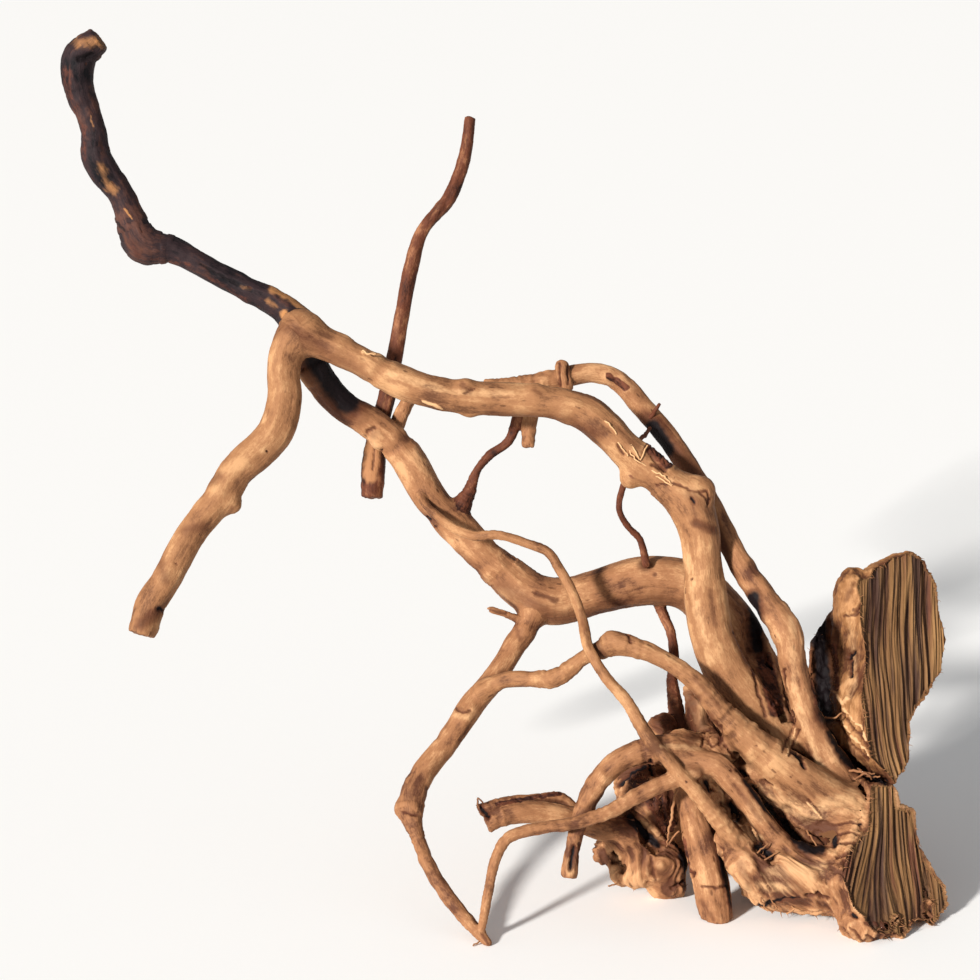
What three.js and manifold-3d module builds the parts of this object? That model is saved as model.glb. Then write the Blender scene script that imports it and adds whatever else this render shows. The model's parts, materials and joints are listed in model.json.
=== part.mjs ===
// Aquarium driftwood: a sawn root burl with bare limbs, a dark hooked branch and thin roots.
// Millimetres, +Z up, the wood standing on z = 0 with its origin below its middle.
import * as THREE from 'three';
import { mergeVertices } from 'three/addons/utils/BufferGeometryUtils.js';
import Module from 'manifold-3d';

const wasm = await Module();
wasm.setup();

// Driving dimensions. The wood was laid out on a squared sketch, as carvers do: a place is
// squares across and squares down, plus its depth in mm behind the plane of the sketch.
const SQUARE = 6; // side of a sketch square
const SKETCH_MIDDLE = 49; // squares from the sketch's edges to its middle
const EYE_DISTANCE = 1600; // from which the sketch was drawn
const LEAN = THREE.MathUtils.degToRad(15); // how far the sketch leans back from upright
const MIDDLE_HEIGHT = 238.5; // the sketch's middle above the surface that the wood stands on
const MIDDLE = new THREE.Vector3(-11.5, 2, MIDDLE_HEIGHT); // seen from below the wood's middle
const FIT_GAP = 0.3; // between two neighbouring solids
const RING_STEP = 18.5; // along a limb, between two rings of facets
const FLUTE = 0.05; // how far a limb is from round, as a share of its radius
const FLOOR_DEPTH = 400; // of the block that trims the feet flat
const RIDGE_PITCH = 1; // squares between two saw ridges
const RIDGE_DEPTHS = [1.4, 2.2, 1.1, 1.8, 2.6, 1.3]; // mm, in turn across the face
const WASTE_HEIGHT = 150; // mm that the saw took off in front of its plane

// Where the saw went: depth grows by so many mm for each square across, and up
const SAW = { across: 85, down: 89, depth: -62.6, perAcross: 4.2, perUp: 2.56 };

const BARE_WOOD = 0xbe8f60;
const PALE_WOOD = 0xd0a374;
const DARK_WOOD = 0x8a5a38;
const DARK_BARK = 0x3a2622;
const SAWN_WOOD = 0x94703f;

// Routes: squares across, squares down, mm deep, radius in mm
const MAIN_LIMB = [
  [83.5, 79.5, 14, 12],
  [79.5, 75.6, 6, 14.5],
  [76, 71.6, 1, 14],
  [73.3, 68, -2, 13.6],
  [71.4, 64, -4, 13.4],
  [70.6, 60, -5, 12.8],
  [70.3, 56, -6, 11.2],
  [69.9, 52.7, -7, 12],
  [68.6, 49.9, -7, 13.2],
  [66, 47.8, -7, 10.6],
  [63.2, 45.4, -7, 10.6],
  [60.6, 43, -8, 10.4],
  [58.6, 41.3, -8, 10.6],
  [56, 40.4, -8, 9.9],
  [50, 39.9, -8, 9.8],
  [44, 39.4, -8, 10.1],
  [39.8, 38.1, -7, 9.8],
  [36.2, 36.1, -6, 8.8],
  [32.5, 34.3, -4, 10],
  [30, 33.2, -2, 11],
];
const LEFT_BRANCH = [
  [30.2, 33, -2, 10.6],
  [28.9, 34.5, -3, 10.4],
  [28.3, 37.2, -5, 9.6],
  [28.4, 39.8, -8, 10.3],
  [27.6, 43, -11, 11],
  [26.1, 44.9, -13, 10.8],
  [23.5, 47.3, -16, 10.2],
  [21.8, 50, -19, 9.2],
  [20.2, 52, -21, 8.7],
  [18.5, 54.4, -23, 8.7],
  [16.3, 58.5, -27, 9],
  [15, 60.6, -29, 9],
  [14.2, 63.3, -31, 8.2],
];
const HOOKED_BRANCH = [
  [31.5, 33.6, 8, 8],
  [29.5, 31.8, 7, 9],
  [27.5, 30.3, 6, 8.4],
  [24.9, 29, 6, 7.5],
  [20.4, 26.6, 6, 7],
  [17.4, 25, 6, 8],
  [14.3, 24.4, 5, 11.4],
  [13, 21.6, 3, 8.8],
  [12.1, 19.4, 1, 7.8],
  [10.6, 17.4, -1, 9],
  [9.6, 15.6, -2, 9],
  [9.4, 13.4, -3, 7.6],
  [8.8, 11.3, -4, 7.6],
  [8, 9.4, -5, 8.8],
  [7.7, 7.4, -6, 9.6],
  [8, 5.6, -7, 9.9],
  [9.8, 4, -9, 7.8],
];
const LOWER_LIMB = [
  [81, 78, 24, 24],
  [77, 71.5, 30, 24],
  [74.4, 66.5, 35, 20],
  [72.4, 62, 38, 16.4],
  [69, 58.7, 38, 15.4],
  [65, 58, 38, 15.2],
  [60, 59.2, 38, 13.8],
  [57, 59.9, 38, 13.8],
  [54.5, 59.9, 38, 14.8],
  [51.9, 58.6, 38, 13.2],
  [49.9, 56.8, 37, 11.4],
  [48.3, 55.4, 36, 10.6],
  [45.9, 52.9, 36, 10.8],
  [43, 49.8, 35, 10],
  [40.8, 46, 33, 10.2],
  [39, 43.8, 31, 9.4],
  [36.8, 42, 29, 9.5],
  [34.6, 40.8, 26, 9.1],
  [32.7, 38.9, 22, 9.2],
  [31.3, 36.6, 15, 10.2],
  [30.6, 34.8, 12, 8.6],
];
const SIDE_STICK = [
  [47, 11.9, 62, 3.4],
  [46.5, 15.5, 60, 3.8],
  [44.9, 19.8, 58, 4.4],
  [42.3, 23, 56, 4],
  [41.2, 26.4, 54, 4.6],
  [40.4, 30.4, 51, 4.6],
  [39.7, 34.4, 48, 4.9],
  [38.7, 39.5, 44, 5.4],
  [37.7, 43.6, 43, 6.2],
  [37.3, 47, 42, 7.4],
  [37.2, 49.6, 41, 6.8],
];
const BACK_LIMB = [
  [83.8, 77.8, -4, 13],
  [82.1, 75, -8, 10.4],
  [81, 72.4, -9, 8.9],
  [79.9, 69, -10, 7.8],
  [79.2, 66, -10, 8],
  [78.7, 63.2, -9, 9.4],
  [76.6, 60.2, -5, 8.2],
  [74.7, 57.4, 2, 7.4],
  [73, 54.4, 9, 7],
  [71.4, 51.2, 16, 6.8],
  [69.7, 48.2, 24, 6.7],
  [67.6, 44.8, 28, 6.6],
  [65.8, 42.5, 30, 6.6],
  [63.2, 39.5, 30, 6.5],
  [61.4, 37.8, 30, 6.2],
  [59, 37.3, 29, 6.1],
  [55.5, 37.9, 28, 6],
  [52, 38.4, 26, 5],
  [48.6, 38.5, 24, 3.6],
];
const BACK_LIMB_STUBS = [
  [[56.6, 38.6, 24, 4.6], [56.2, 36.7, 22, 4.4]],
  [[53.2, 38.6, 26, 4.6], [53, 41.4, 26, 5], [52.8, 44.6, 26, 4]],
];
const ARCH_ROOT = [
  [86, 81.2, -16, 14],
  [82.4, 79.6, -22, 13.5],
  [78.6, 77, -28, 12],
  [75, 74, -30, 9.6],
  [72, 71.1, -31, 7.2],
  [69.6, 68.2, -31, 5.8],
  [67, 66.3, -30, 5.2],
  [64.5, 65.1, -28, 5.6],
  [62, 64.4, -25, 6.6],
  [60.1, 65, -20, 5.6],
  [58.5, 65.7, -15, 4.6],
  [57.1, 66.8, -11, 5],
  [55.5, 67.8, -7, 5.6],
  [53.4, 67.9, -2, 5],
  [50.5, 68, 4, 5.1],
  [48.4, 69, 8, 5.6],
];
const DOWN_ROOT = [
  [53.4, 60.8, 34, 8.6],
  [52.6, 63, 30, 7.4],
  [51.2, 65, 26, 7],
  [49.3, 68, 18, 7],
  [47.1, 70.6, 10, 7.4],
  [45.7, 72.8, 5, 7.2],
  [43.9, 75.3, 0, 6.8],
  [42.1, 77.6, -6, 7.2],
  [41.3, 79.6, -11, 8],
  [41.2, 81.6, -16, 6.4],
  [41.8, 83.8, -22, 4.2],
  [43, 86.8, -32, 4.4],
  [45.2, 90.2, -44, 4.2],
  [47.4, 92.8, -54, 3.8],
  [48.8, 94.3, -60, 2.6],
];
const THIN_ROOT = [
  [41.9, 49, 28, 2],
  [42.5, 50.4, 22, 2.5],
  [43.9, 51.7, 15, 2.8],
  [45.6, 52.9, 9, 3],
  [47.6, 53.6, 3, 3],
  [49.9, 53.5, -1, 2.7],
  [52.8, 54.4, -4, 2.8],
  [54.8, 55.2, -5, 3],
  [56, 57, -6, 3],
  [57.4, 59.6, -9, 3.1],
  [58.3, 62.2, -16, 3.2],
  [58.9, 64.9, -27, 3.2],
  [60.6, 67.7, -33, 3.3],
  [62.8, 70.3, -37, 3.7],
  [64.6, 73.4, -41, 4.2],
  [67.4, 76.7, -44, 4.3],
  [69.8, 79.5, -46, 4.6],
  [72.1, 82.3, -46, 5.6],
  [74.4, 85.4, -43, 7],
];
const STUB_BARK = [
  [57.4, 81.2, -12, 4],
  [56.2, 79.9, -12, 3.8],
  [53.4, 79.9, -16, 3],
  [50.6, 80.2, -20, 3.4],
  [48.4, 81, -22, 4.4],
  [47.6, 81, -22, 3.6],
];
const SIDE_TWIG = [
  [52.4, 62.2, 30, 3.4],
  [51, 61.6, 28, 2.2],
  [49.2, 61, 26, 2.2],
];
const BENT_ROOT = [
  [69, 75.2, -26, 10],
  [66.4, 75, -34, 9],
  [63.6, 75.3, -37, 7.2],
  [61, 76.8, -38, 6.8],
  [59.2, 79.2, -39, 6.2],
  [58, 82, -39, 5.2],
  [57.3, 84.6, -39, 4.4],
  [56.9, 87.6, -39, 4.8],
];
const FRONT_ROOT = [
  [69.4, 77.2, -40, 5.6],
  [66.4, 78.3, -43, 5],
  [63.2, 79.9, -46, 4.6],
  [60.6, 81.3, -48, 4.2],
  [57, 82.4, -50, 3.8],
  [53.6, 82.9, -52, 3.6],
  [50.8, 83.8, -54, 3.4],
  [49.6, 85.8, -56, 3.2],
  [48.9, 88.8, -58, 2.9],
  [48.4, 91.6, -59, 2.6],
  [48.1, 93.2, -58, 2.2],
];
const BROKEN_ROOT = [
  [63, 83, -6, 8],
  [59.6, 82.6, -14, 7.4],
  [56.2, 81.6, -20, 6.4],
  [53.4, 81.2, -24, 6.6],
  [50.6, 81.4, -27, 6.4],
  [48.8, 82.4, -28, 5.2],
];
const CUT_ROOT = [
  [68.4, 77.5, -10, 9],
  [69.1, 80.6, -16, 8.6],
  [70, 83.6, -21, 10],
  [71, 87.6, -24, 10.6],
  [71.6, 91.6, -23, 10],
  [71.8, 93, -22, 9.6],
];
const FORKED_ROOT = [
  [68.6, 76, -34, 7.4],
  [71.6, 76.6, -37, 7.2],
  [73.6, 78.6, -38, 7],
  [75.4, 81, -38, 6.6],
  [77, 83.2, -38, 6.6],
  [79.2, 85.4, -39, 8],
  [82, 87, -40, 11],
];
const WAVY_ROOT = [
  [63.2, 46.6, 4, 2.4],
  [62.2, 49, 8, 2],
  [61.9, 50.8, 12, 1.9],
  [62.6, 52.4, 16, 2],
  [64, 54, 20, 2.2],
  [64.6, 56.4, 22, 2.6],
];
const HANGING_ROOT = [
  [65.6, 59.4, 42, 4.4],
  [66.2, 61.2, 42, 3.4],
  [67, 63, 38, 3.1],
  [67.4, 65.4, 32, 3],
  [67.2, 68, 22, 3.4],
  [67.5, 70.2, 13, 4.4],
  [67.9, 72.8, 6, 5.4],
];
const LINK_ROOT = [
  [52, 39.6, 24, 3.2],
  [51.6, 42.2, 26, 3.2],
  [50.8, 44.2, 28, 2.8],
  [48.9, 45.6, 30, 2.8],
  [47.6, 47.2, 32, 2.6],
  [47, 49, 34, 4],
  [46, 50.8, 35, 6.4],
];
const REAR_ROOT = [
  [78, 80, 52, 20],
  [72, 81.6, 66, 15],
  [67, 83.6, 73, 11.6],
  [63.6, 85.6, 74, 9],
];

// The two sawn blocks: each outline of a sawn face in squares, how far its back lies to the
// right, up and behind in mm, and the share by which it narrows there
const SLAB_BACK = { right: -23, up: -4, behind: 42, narrowing: 0.25 };
const HEART_BACK = { right: -30, up: 9, behind: 90, narrowing: 0.2 };
const FACE_REACH = 25; // mm from the middle of a sawn face to its nearest edge
const SLAB_FACE = [
  [87.4, 56.8],
  [89.2, 55.7],
  [91, 55.1],
  [92.7, 56],
  [93.6, 58.4],
  [93.9, 61.1],
  [94.7, 64],
  [94.2, 67.2],
  [92.4, 69.8],
  [91.1, 72.2],
  [91, 76],
  [89.6, 78.3],
  [87, 75.6],
  [86.1, 70],
  [86.6, 65.4],
  [85.9, 61],
];
const LOWER_FACE = [
  [87.1, 78.4],
  [89.4, 78.7],
  [89.7, 80.8],
  [91.3, 81.1],
  [91.9, 84],
  [93, 86.8],
  [94.4, 88.6],
  [94.8, 90.6],
  [93.3, 92.5],
  [92, 92],
  [90.4, 93.6],
  [88.2, 93],
  [85.4, 90.6],
  [84.2, 87.6],
  [85, 85.4],
  [86.9, 83.4],
];

// Lumps of the burl: squares across, squares down, mm deep, and half sizes across, up, deep
const LARGE_LUMP = 25; // half size across, in mm, above which a lump gets finer facets
const BURL_LUMPS = [
  [82, 82, 16, 42, 34, 48],
  [77.8, 73.2, 22, 24, 26, 26],
  [79, 81.5, 54, 44, 38, 34],
  [85, 87.6, -32, 21, 24, 26],
  [86.8, 92, -48, 18, 12.5, 14],
  [80, 88.6, -18, 34, 16, 30],
  [72.2, 78.2, 8, 29, 26, 30],
  [64.8, 80.4, 8, 19, 21, 17],
  [65.4, 86.2, 5, 19, 12, 15],
  [67, 88.7, 6, 10, 7.4, 10],
  [63, 87.2, 3, 11, 8.6, 9],
  [60.7, 85.2, 3, 9, 9, 8],
  [72.3, 80.4, -22, 9, 11, 9],
  [71.4, 75, -18, 13, 11, 13],
  [67.6, 74.7, -22, 12.5, 10.4, 13],
  [66.2, 72.4, -4, 9, 8, 9],
];
const SLAB_LUMPS = [
  [83.6, 67, 44, 17, 34, 14],
  [84.2, 74.5, 38, 18, 24, 22],
  [85.2, 60, 33, 12, 20, 14],
];
const FRONT_MASS = [
  [72.8, 83.4, -38, 8],
  [75.2, 86.6, -42, 12],
  [78.6, 88, -43, 12],
  [82.4, 87.6, -42, 13],
  [86, 88, -38, 15],
];
const CONE_ROOT = [
  [71.6, 74.6, 0, 12],
  [70, 71.4, 2, 9],
  [69.2, 69, 4, 3.4],
];
const KNOB_ROOT = [
  [66.6, 86.4, -2, 10],
  [63.4, 84.4, -5, 9],
  [60.6, 82.6, -8, 7.6],
];
const LOWER_STUB = [
  [39, 44, 36, 5],
  [40.1, 41.6, 39, 4.6],
  [41, 39.6, 40, 4],
];
const LIMB_KNOTS = [
  [46.6, 38.4, -15, 4.6],
  [47, 41.4, -6, 3],
  [53.6, 38.9, -14, 3.6],
  [63, 47.9, -8, 5],
  [70.2, 49, -11, 8],
];
const BRANCH_KNOTS = [[23.4, 50.6, -20, 4.2]];
const ARCH_KNOTS = [[61, 63.8, -24, 3.6]];
const DOWN_KNOTS = [[40.1, 81, -13, 3.6]];

// A step in mm to the right, upwards and behind on the leaning sketch, as a step in space
function step({ right, up, behind }) {
  return new THREE.Vector3(right, behind, up).applyAxisAngle(new THREE.Vector3(1, 0, 0), -LEAN);
}

// A place on the sketch as a point in space, by similar triangles from the eye
function place([across, down, depth]) {
  const spread = (SQUARE * (EYE_DISTANCE + depth)) / EYE_DISTANCE;
  const right = (across - SKETCH_MIDDLE) * spread;
  const up = (SKETCH_MIDDLE - down) * spread;
  return step({ right, up, behind: depth }).add(MIDDLE);
}

// Where the sight line through a sketch place meets the plane of the saw, raised by height mm
function sawn(across, down, height = 0) {
  const depth = SAW.depth + SAW.perAcross * (across - SAW.across) + SAW.perUp * (SAW.down - down);
  return place([across, down, depth - height]);
}

function toSolid(geometry) {
  geometry.deleteAttribute('normal');
  geometry.deleteAttribute('uv');
  const merged = mergeVertices(geometry, 1e-3);
  const mesh = new wasm.Mesh({
    numProp: 3,
    vertProperties: merged.attributes.position.array,
    triVerts: new Uint32Array(merged.index.array),
  });
  return new wasm.Manifold(mesh);
}

function join(solids) {
  return solids.reduce((whole, solid) => whole.add(solid));
}

// Moves every vertex of a geometry to where the given function puts it
function reshape(geometry, move) {
  const position = geometry.attributes.position;
  for (let i = 0; i < position.count; i += 1) {
    const point = move(new THREE.Vector3().fromBufferAttribute(position, i));
    position.setXYZ(i, point.x, point.y, point.z);
  }
  return geometry;
}

// A cylinder bent along a route, as thick as the route says and a little fluted; grow makes
// the same limb thicker all round, to cut its neighbours back by the gap between them
function limb(route, sides, grow) {
  const curve = new THREE.CatmullRomCurve3(route.map(place), false, 'centripetal');
  const rings = Math.max(3, Math.round(curve.getLength() / RING_STEP));
  const frames = curve.computeFrenetFrames(rings, false);
  const radiusAt = (u) => {
    const along = curve.getUtoTmapping(u) * (route.length - 1);
    const before = Math.min(Math.floor(along), route.length - 2);
    return THREE.MathUtils.lerp(route[before][3], route[before + 1][3], along - before);
  };
  const bent = reshape(new THREE.CylinderGeometry(1, 1, 1, sides, rings), ({ x, y, z }) => {
    const ring = Math.round((0.5 - y) * rings);
    const angle = Math.atan2(z, x);
    const fluted = radiusAt(ring / rings) * (1 + FLUTE * Math.cos(3 * angle + ring)) + grow;
    return curve
      .getPointAt(ring / rings)
      .addScaledVector(frames.normals[ring], x * fluted)
      .addScaledVector(frames.binormals[ring], z * fluted);
  });
  return toSolid(bent);
}

function lump([across, down, depth, width, height = width, thickness = width], detail, grow) {
  const middle = place([across, down, depth]);
  const ball = new THREE.IcosahedronGeometry(1, detail);
  ball.scale(width + grow, thickness + grow, height + grow);
  ball.rotateX(-LEAN);
  ball.translate(middle.x, middle.y, middle.z);
  return toSolid(ball);
}

// A block behind a sawn face, drawn back from its outline; its front stands proud for the saw
function sawnBlock(outline, back, grow) {
  const corners = outline.map(([across, down]) => new THREE.Vector2(across, down));
  const middle = new THREE.Box2().setFromPoints(corners).getCenter(new THREE.Vector2());
  const block = new THREE.ExtrudeGeometry(new THREE.Shape(corners), {
    depth: 1,
    steps: 3,
    bevelEnabled: false,
  });
  const proud = 6;
  reshape(block, ({ x, y, z }) => {
    const share = (1 - back.narrowing * z * z) * (1 + grow / FACE_REACH);
    const across = middle.x + (x - middle.x) * share;
    const down = middle.y + (y - middle.y) * share;
    return sawn(across, down, proud).addScaledVector(step(back), z);
  });
  return outwards(toSolid(block));
}

// A drawing turned over by the layout has its faces inwards, so they are turned round
function outwards(solid) {
  if (solid.volume() > 0) {
    return solid;
  }
  const mesh = solid.getMesh();
  const triVerts = mesh.triVerts.slice();
  for (let i = 0; i < triVerts.length; i += 3) {
    [triVerts[i + 1], triVerts[i + 2]] = [triVerts[i + 2], triVerts[i + 1]];
  }
  return new wasm.Manifold(
    new wasm.Mesh({ numProp: 3, vertProperties: mesh.vertProperties.slice(0), triVerts }),
  );
}

// What the saw took away: all before its plane, less a row of ridges that it left standing
function sawWaste() {
  const first = 80;
  const last = 98;
  const top = 53;
  const bottom = 97;
  const profile = new THREE.Shape();
  profile.moveTo(first, WASTE_HEIGHT);
  let number = 0;
  for (let across = first; across < last; across += RIDGE_PITCH) {
    profile.lineTo(across, 0);
    profile.lineTo(across + RIDGE_PITCH / 2, -RIDGE_DEPTHS[number % RIDGE_DEPTHS.length]);
    number += 1;
  }
  profile.lineTo(last, 0);
  profile.lineTo(last, WASTE_HEIGHT);
  const block = new THREE.ExtrudeGeometry(profile, { depth: 1, steps: 1, bevelEnabled: false });
  reshape(block, ({ x, y, z }) => sawn(x, THREE.MathUtils.lerp(top, bottom, z), y));
  return outwards(toSolid(block));
}

// Everything below the surface that the wood stands on: its feet are worn flat there
function ground() {
  const side = 4 * FLOOR_DEPTH;
  const block = new THREE.BoxGeometry(side, side, FLOOR_DEPTH);
  block.translate(0, 0, -FLOOR_DEPTH / 2);
  return toSolid(block);
}

const below = ground();
const waste = sawWaste();

function lumps(list, grow) {
  return list.map((item) => lump(item, item[3] > LARGE_LUMP ? 2 : 1, grow));
}

function limbs(routes, sides, grow) {
  return routes.map((route) => limb(route, sides, grow));
}

function burl(grow) {
  const masses = [FRONT_MASS, CONE_ROOT, KNOB_ROOT];
  const heart = sawnBlock(LOWER_FACE, HEART_BACK, grow);
  return join([...lumps(BURL_LUMPS, grow), heart, ...limbs(masses, 10, grow)]).subtract(waste);
}

function slab(grow) {
  return join([sawnBlock(SLAB_FACE, SLAB_BACK, grow), ...lumps(SLAB_LUMPS, grow)]).subtract(waste);
}

// Each piece: its name, its colour, how to make it, and the earlier pieces that it grows from
const PIECES = [
  ['root_burl', BARE_WOOD, burl, []],
  ['stump_slab', SAWN_WOOD, slab, ['root_burl']],
  [
    'main_limb',
    PALE_WOOD,
    (grow) => join([limb(MAIN_LIMB, 9, grow), ...lumps(LIMB_KNOTS, grow)]),
    ['root_burl'],
  ],
  [
    'left_branch',
    PALE_WOOD,
    (grow) => join([limb(LEFT_BRANCH, 9, grow), ...lumps(BRANCH_KNOTS, grow)]),
    ['main_limb'],
  ],
  [
    'lower_limb',
    BARE_WOOD,
    (grow) => join([limb(LOWER_LIMB, 9, grow), limb(LOWER_STUB, 6, grow)]),
    ['root_burl', 'stump_slab', 'main_limb', 'left_branch'],
  ],
  [
    'hooked_branch',
    DARK_BARK,
    (grow) => limb(HOOKED_BRANCH, 9, grow),
    ['main_limb', 'left_branch', 'lower_limb'],
  ],
  ['side_stick', DARK_WOOD, (grow) => limb(SIDE_STICK, 7, grow), ['lower_limb']],
  [
    'back_limb',
    BARE_WOOD,
    (grow) => join(limbs([BACK_LIMB, ...BACK_LIMB_STUBS], 7, grow)),
    ['root_burl', 'main_limb', 'lower_limb', 'stump_slab'],
  ],
  [
    'arch_root',
    PALE_WOOD,
    (grow) => join([limb(ARCH_ROOT, 7, grow), ...lumps(ARCH_KNOTS, grow)]),
    ['root_burl', 'main_limb', 'back_limb'],
  ],
  [
    'down_root',
    BARE_WOOD,
    (grow) => join([...limbs([DOWN_ROOT, SIDE_TWIG], 7, grow), ...lumps(DOWN_KNOTS, grow)]),
    ['lower_limb', 'arch_root'],
  ],
  ['bent_root', BARE_WOOD, (grow) => limb(BENT_ROOT, 7, grow), ['root_burl']],
  [
    'broken_root',
    BARE_WOOD,
    (grow) => join(limbs([BROKEN_ROOT, STUB_BARK], 7, grow)),
    ['root_burl', 'bent_root'],
  ],
  ['cut_root', BARE_WOOD, (grow) => limb(CUT_ROOT, 10, grow), ['root_burl']],
  [
    'forked_root',
    BARE_WOOD,
    (grow) => limb(FORKED_ROOT, 7, grow),
    ['root_burl', 'bent_root', 'cut_root'],
  ],
  [
    'front_root',
    BARE_WOOD,
    (grow) => limb(FRONT_ROOT, 6, grow),
    ['root_burl', 'bent_root', 'down_root', 'cut_root', 'forked_root'],
  ],
  [
    'thin_root',
    PALE_WOOD,
    (grow) => limb(THIN_ROOT, 6, grow),
    ['root_burl', 'lower_limb', 'arch_root', 'bent_root', 'cut_root', 'forked_root', 'front_root'],
  ],
  ['wavy_root', DARK_WOOD, (grow) => limb(WAVY_ROOT, 6, grow), ['main_limb', 'lower_limb']],
  ['hanging_root', DARK_WOOD, (grow) => limb(HANGING_ROOT, 6, grow), ['root_burl', 'lower_limb']],
  ['link_root', DARK_WOOD, (grow) => limb(LINK_ROOT, 6, grow), ['back_limb', 'lower_limb']],
  ['rear_root', BARE_WOOD, (grow) => limb(REAR_ROOT, 7, grow), ['root_burl']],
];

function largestBody(solid) {
  return solid.decompose().reduce((best, body) => (body.volume() > best.volume() ? body : best));
}

function toMesh(name, colour, solid) {
  const { vertProperties, triVerts } = solid.getMesh();
  const geometry = new THREE.BufferGeometry();
  geometry.setAttribute('position', new THREE.BufferAttribute(new Float32Array(vertProperties), 3));
  geometry.setIndex(new THREE.BufferAttribute(new Uint32Array(triVerts), 1));
  geometry.computeVertexNormals();
  const material = new THREE.MeshStandardMaterial({ color: colour, roughness: 0.8, metalness: 0 });
  const mesh = new THREE.Mesh(geometry, material);
  mesh.name = name;
  return mesh;
}

const driftwood = new THREE.Group();
const makers = new Map(PIECES.map(([name, , make]) => [name, make]));
for (const [name, colour, make, neighbours] of PIECES) {
  let solid = make(0).subtract(below);
  for (const neighbour of neighbours) {
    solid = solid.subtract(makers.get(neighbour)(FIT_GAP));
  }
  driftwood.add(toMesh(name, colour, largestBody(solid)));
}

export default driftwood;
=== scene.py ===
# %% [markdown]
# # A piece of aquarium driftwood
#
# The object is the dead root of a shrub, dried, scraped and sold for fish tanks. A burl, the
# swollen foot of the trunk, was sawn off flat on its right side. From it grow bare limbs, a
# dark hooked branch and thin roots, and it stands by itself on its lowest roots.
#
# Wood like this has no straight edge to model from. This lesson therefore describes it as a
# field: a function that says, for any point in space, how far it is from the wood. Limbs,
# lumps and saw cuts are each a few lines of arithmetic, and where two meet the field rounds
# the joint off by itself, as growing wood does. One mesh is drawn over the field, carved with
# fine relief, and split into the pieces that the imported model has.

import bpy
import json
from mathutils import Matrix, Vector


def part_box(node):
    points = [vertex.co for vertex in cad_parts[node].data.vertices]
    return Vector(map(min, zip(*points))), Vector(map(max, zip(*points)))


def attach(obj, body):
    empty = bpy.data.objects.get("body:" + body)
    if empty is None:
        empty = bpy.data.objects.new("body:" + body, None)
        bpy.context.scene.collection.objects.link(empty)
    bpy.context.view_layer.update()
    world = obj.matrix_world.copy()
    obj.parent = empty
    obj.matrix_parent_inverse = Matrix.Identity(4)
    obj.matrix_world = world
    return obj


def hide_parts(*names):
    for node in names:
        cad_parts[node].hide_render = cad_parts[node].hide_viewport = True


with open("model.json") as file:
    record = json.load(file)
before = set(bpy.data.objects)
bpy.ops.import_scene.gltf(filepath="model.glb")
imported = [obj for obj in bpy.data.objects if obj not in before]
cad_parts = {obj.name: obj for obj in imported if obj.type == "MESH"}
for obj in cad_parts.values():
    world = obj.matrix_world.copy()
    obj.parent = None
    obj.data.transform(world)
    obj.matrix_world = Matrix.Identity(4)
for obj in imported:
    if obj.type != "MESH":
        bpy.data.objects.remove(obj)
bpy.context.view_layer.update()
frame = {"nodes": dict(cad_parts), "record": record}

# %% Modules that the lesson uses
import itertools
import json
import math

import bpy
import numpy as np
import openvdb
from mathutils import Vector

# %% [markdown]
# ## A squared sketch to work on
#
# Carvers enlarge a design with a squared sketch. A place here is so many squares across and
# down, plus a depth in millimetres behind the sketch. The sketch leans back 15 degrees and
# is seen by an eye 1.6 m away, so a place keeps its square when it moves deeper. The camera
# will stand at that same eye, so one square is always ten pixels of the picture.

# %% The layout of the sketch
SQUARE = 6.0  # mm, side of a square of the sketch
SKETCH_MIDDLE = 49.0  # squares from its edges to its middle
EYE_DISTANCE = 1600.0  # mm
LEAN = math.radians(15)
MIDDLE = np.array([-11.5, 2.0, 238.5])  # mm, the sketch's middle in space

# Rows: one mm to the right, behind and up on the sketch, as steps in space
AXES = np.array([
    [1, 0, 0],
    [0, math.cos(LEAN), -math.sin(LEAN)],
    [0, math.sin(LEAN), math.cos(LEAN)],
])


def place(across, down, depth):
    """Points in space, in mm, for places on the sketch."""
    spread = SQUARE * (EYE_DISTANCE + depth) / EYE_DISTANCE
    right = (across - SKETCH_MIDDLE) * spread
    up = (SKETCH_MIDDLE - down) * spread
    return np.stack([right, depth, up], axis=-1) @ AXES + MIDDLE


def sketched(points):
    """The other way round: squares across, squares down and mm deep of points in space."""
    right, depth, up = ((points - MIDDLE) @ AXES.T).T
    spread = SQUARE * (EYE_DISTANCE + depth) / EYE_DISTANCE
    return SKETCH_MIDDLE + right / spread, SKETCH_MIDDLE - up / spread, depth


EYE = MIDDLE - EYE_DISTANCE * AXES[1]
print("the eye stands at", EYE.round(1), "mm")

# %% [markdown]
# ## The camera
#
# The frame is 98 squares wide, 588 mm at the distance of the sketch. The lens follows from
# similar triangles: its focal length is to the sensor as the distance is to the frame.

# %% Camera
MM = 0.001  # mesh data and objects are in metres
SENSOR = 36.0

camera_data = bpy.data.cameras.new("camera")
camera_data.sensor_width = SENSOR
camera_data.lens = SENSOR * EYE_DISTANCE / (2 * SKETCH_MIDDLE * SQUARE)
camera = bpy.data.objects.new("camera", camera_data)
camera.location = Vector(EYE * MM)
camera.rotation_euler = (math.radians(90) - LEAN, 0, 0)
bpy.context.scene.collection.objects.link(camera)
bpy.context.scene.camera = camera
print("lens", round(camera_data.lens, 2), "mm")

# %% [markdown]
# ## Where the wood goes
#
# Every limb and root is a route: places that its middle passes through, each with the
# radius in mm. They could be drawn as curve objects with a bevel, but then each joint would
# show as two pipes that cross. Plain lists are kept instead, and the field joins them.
#
# The big bare limb comes first, with the branch that hangs from its far end and the dark
# hooked branch that reaches up from the same fork.

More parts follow.
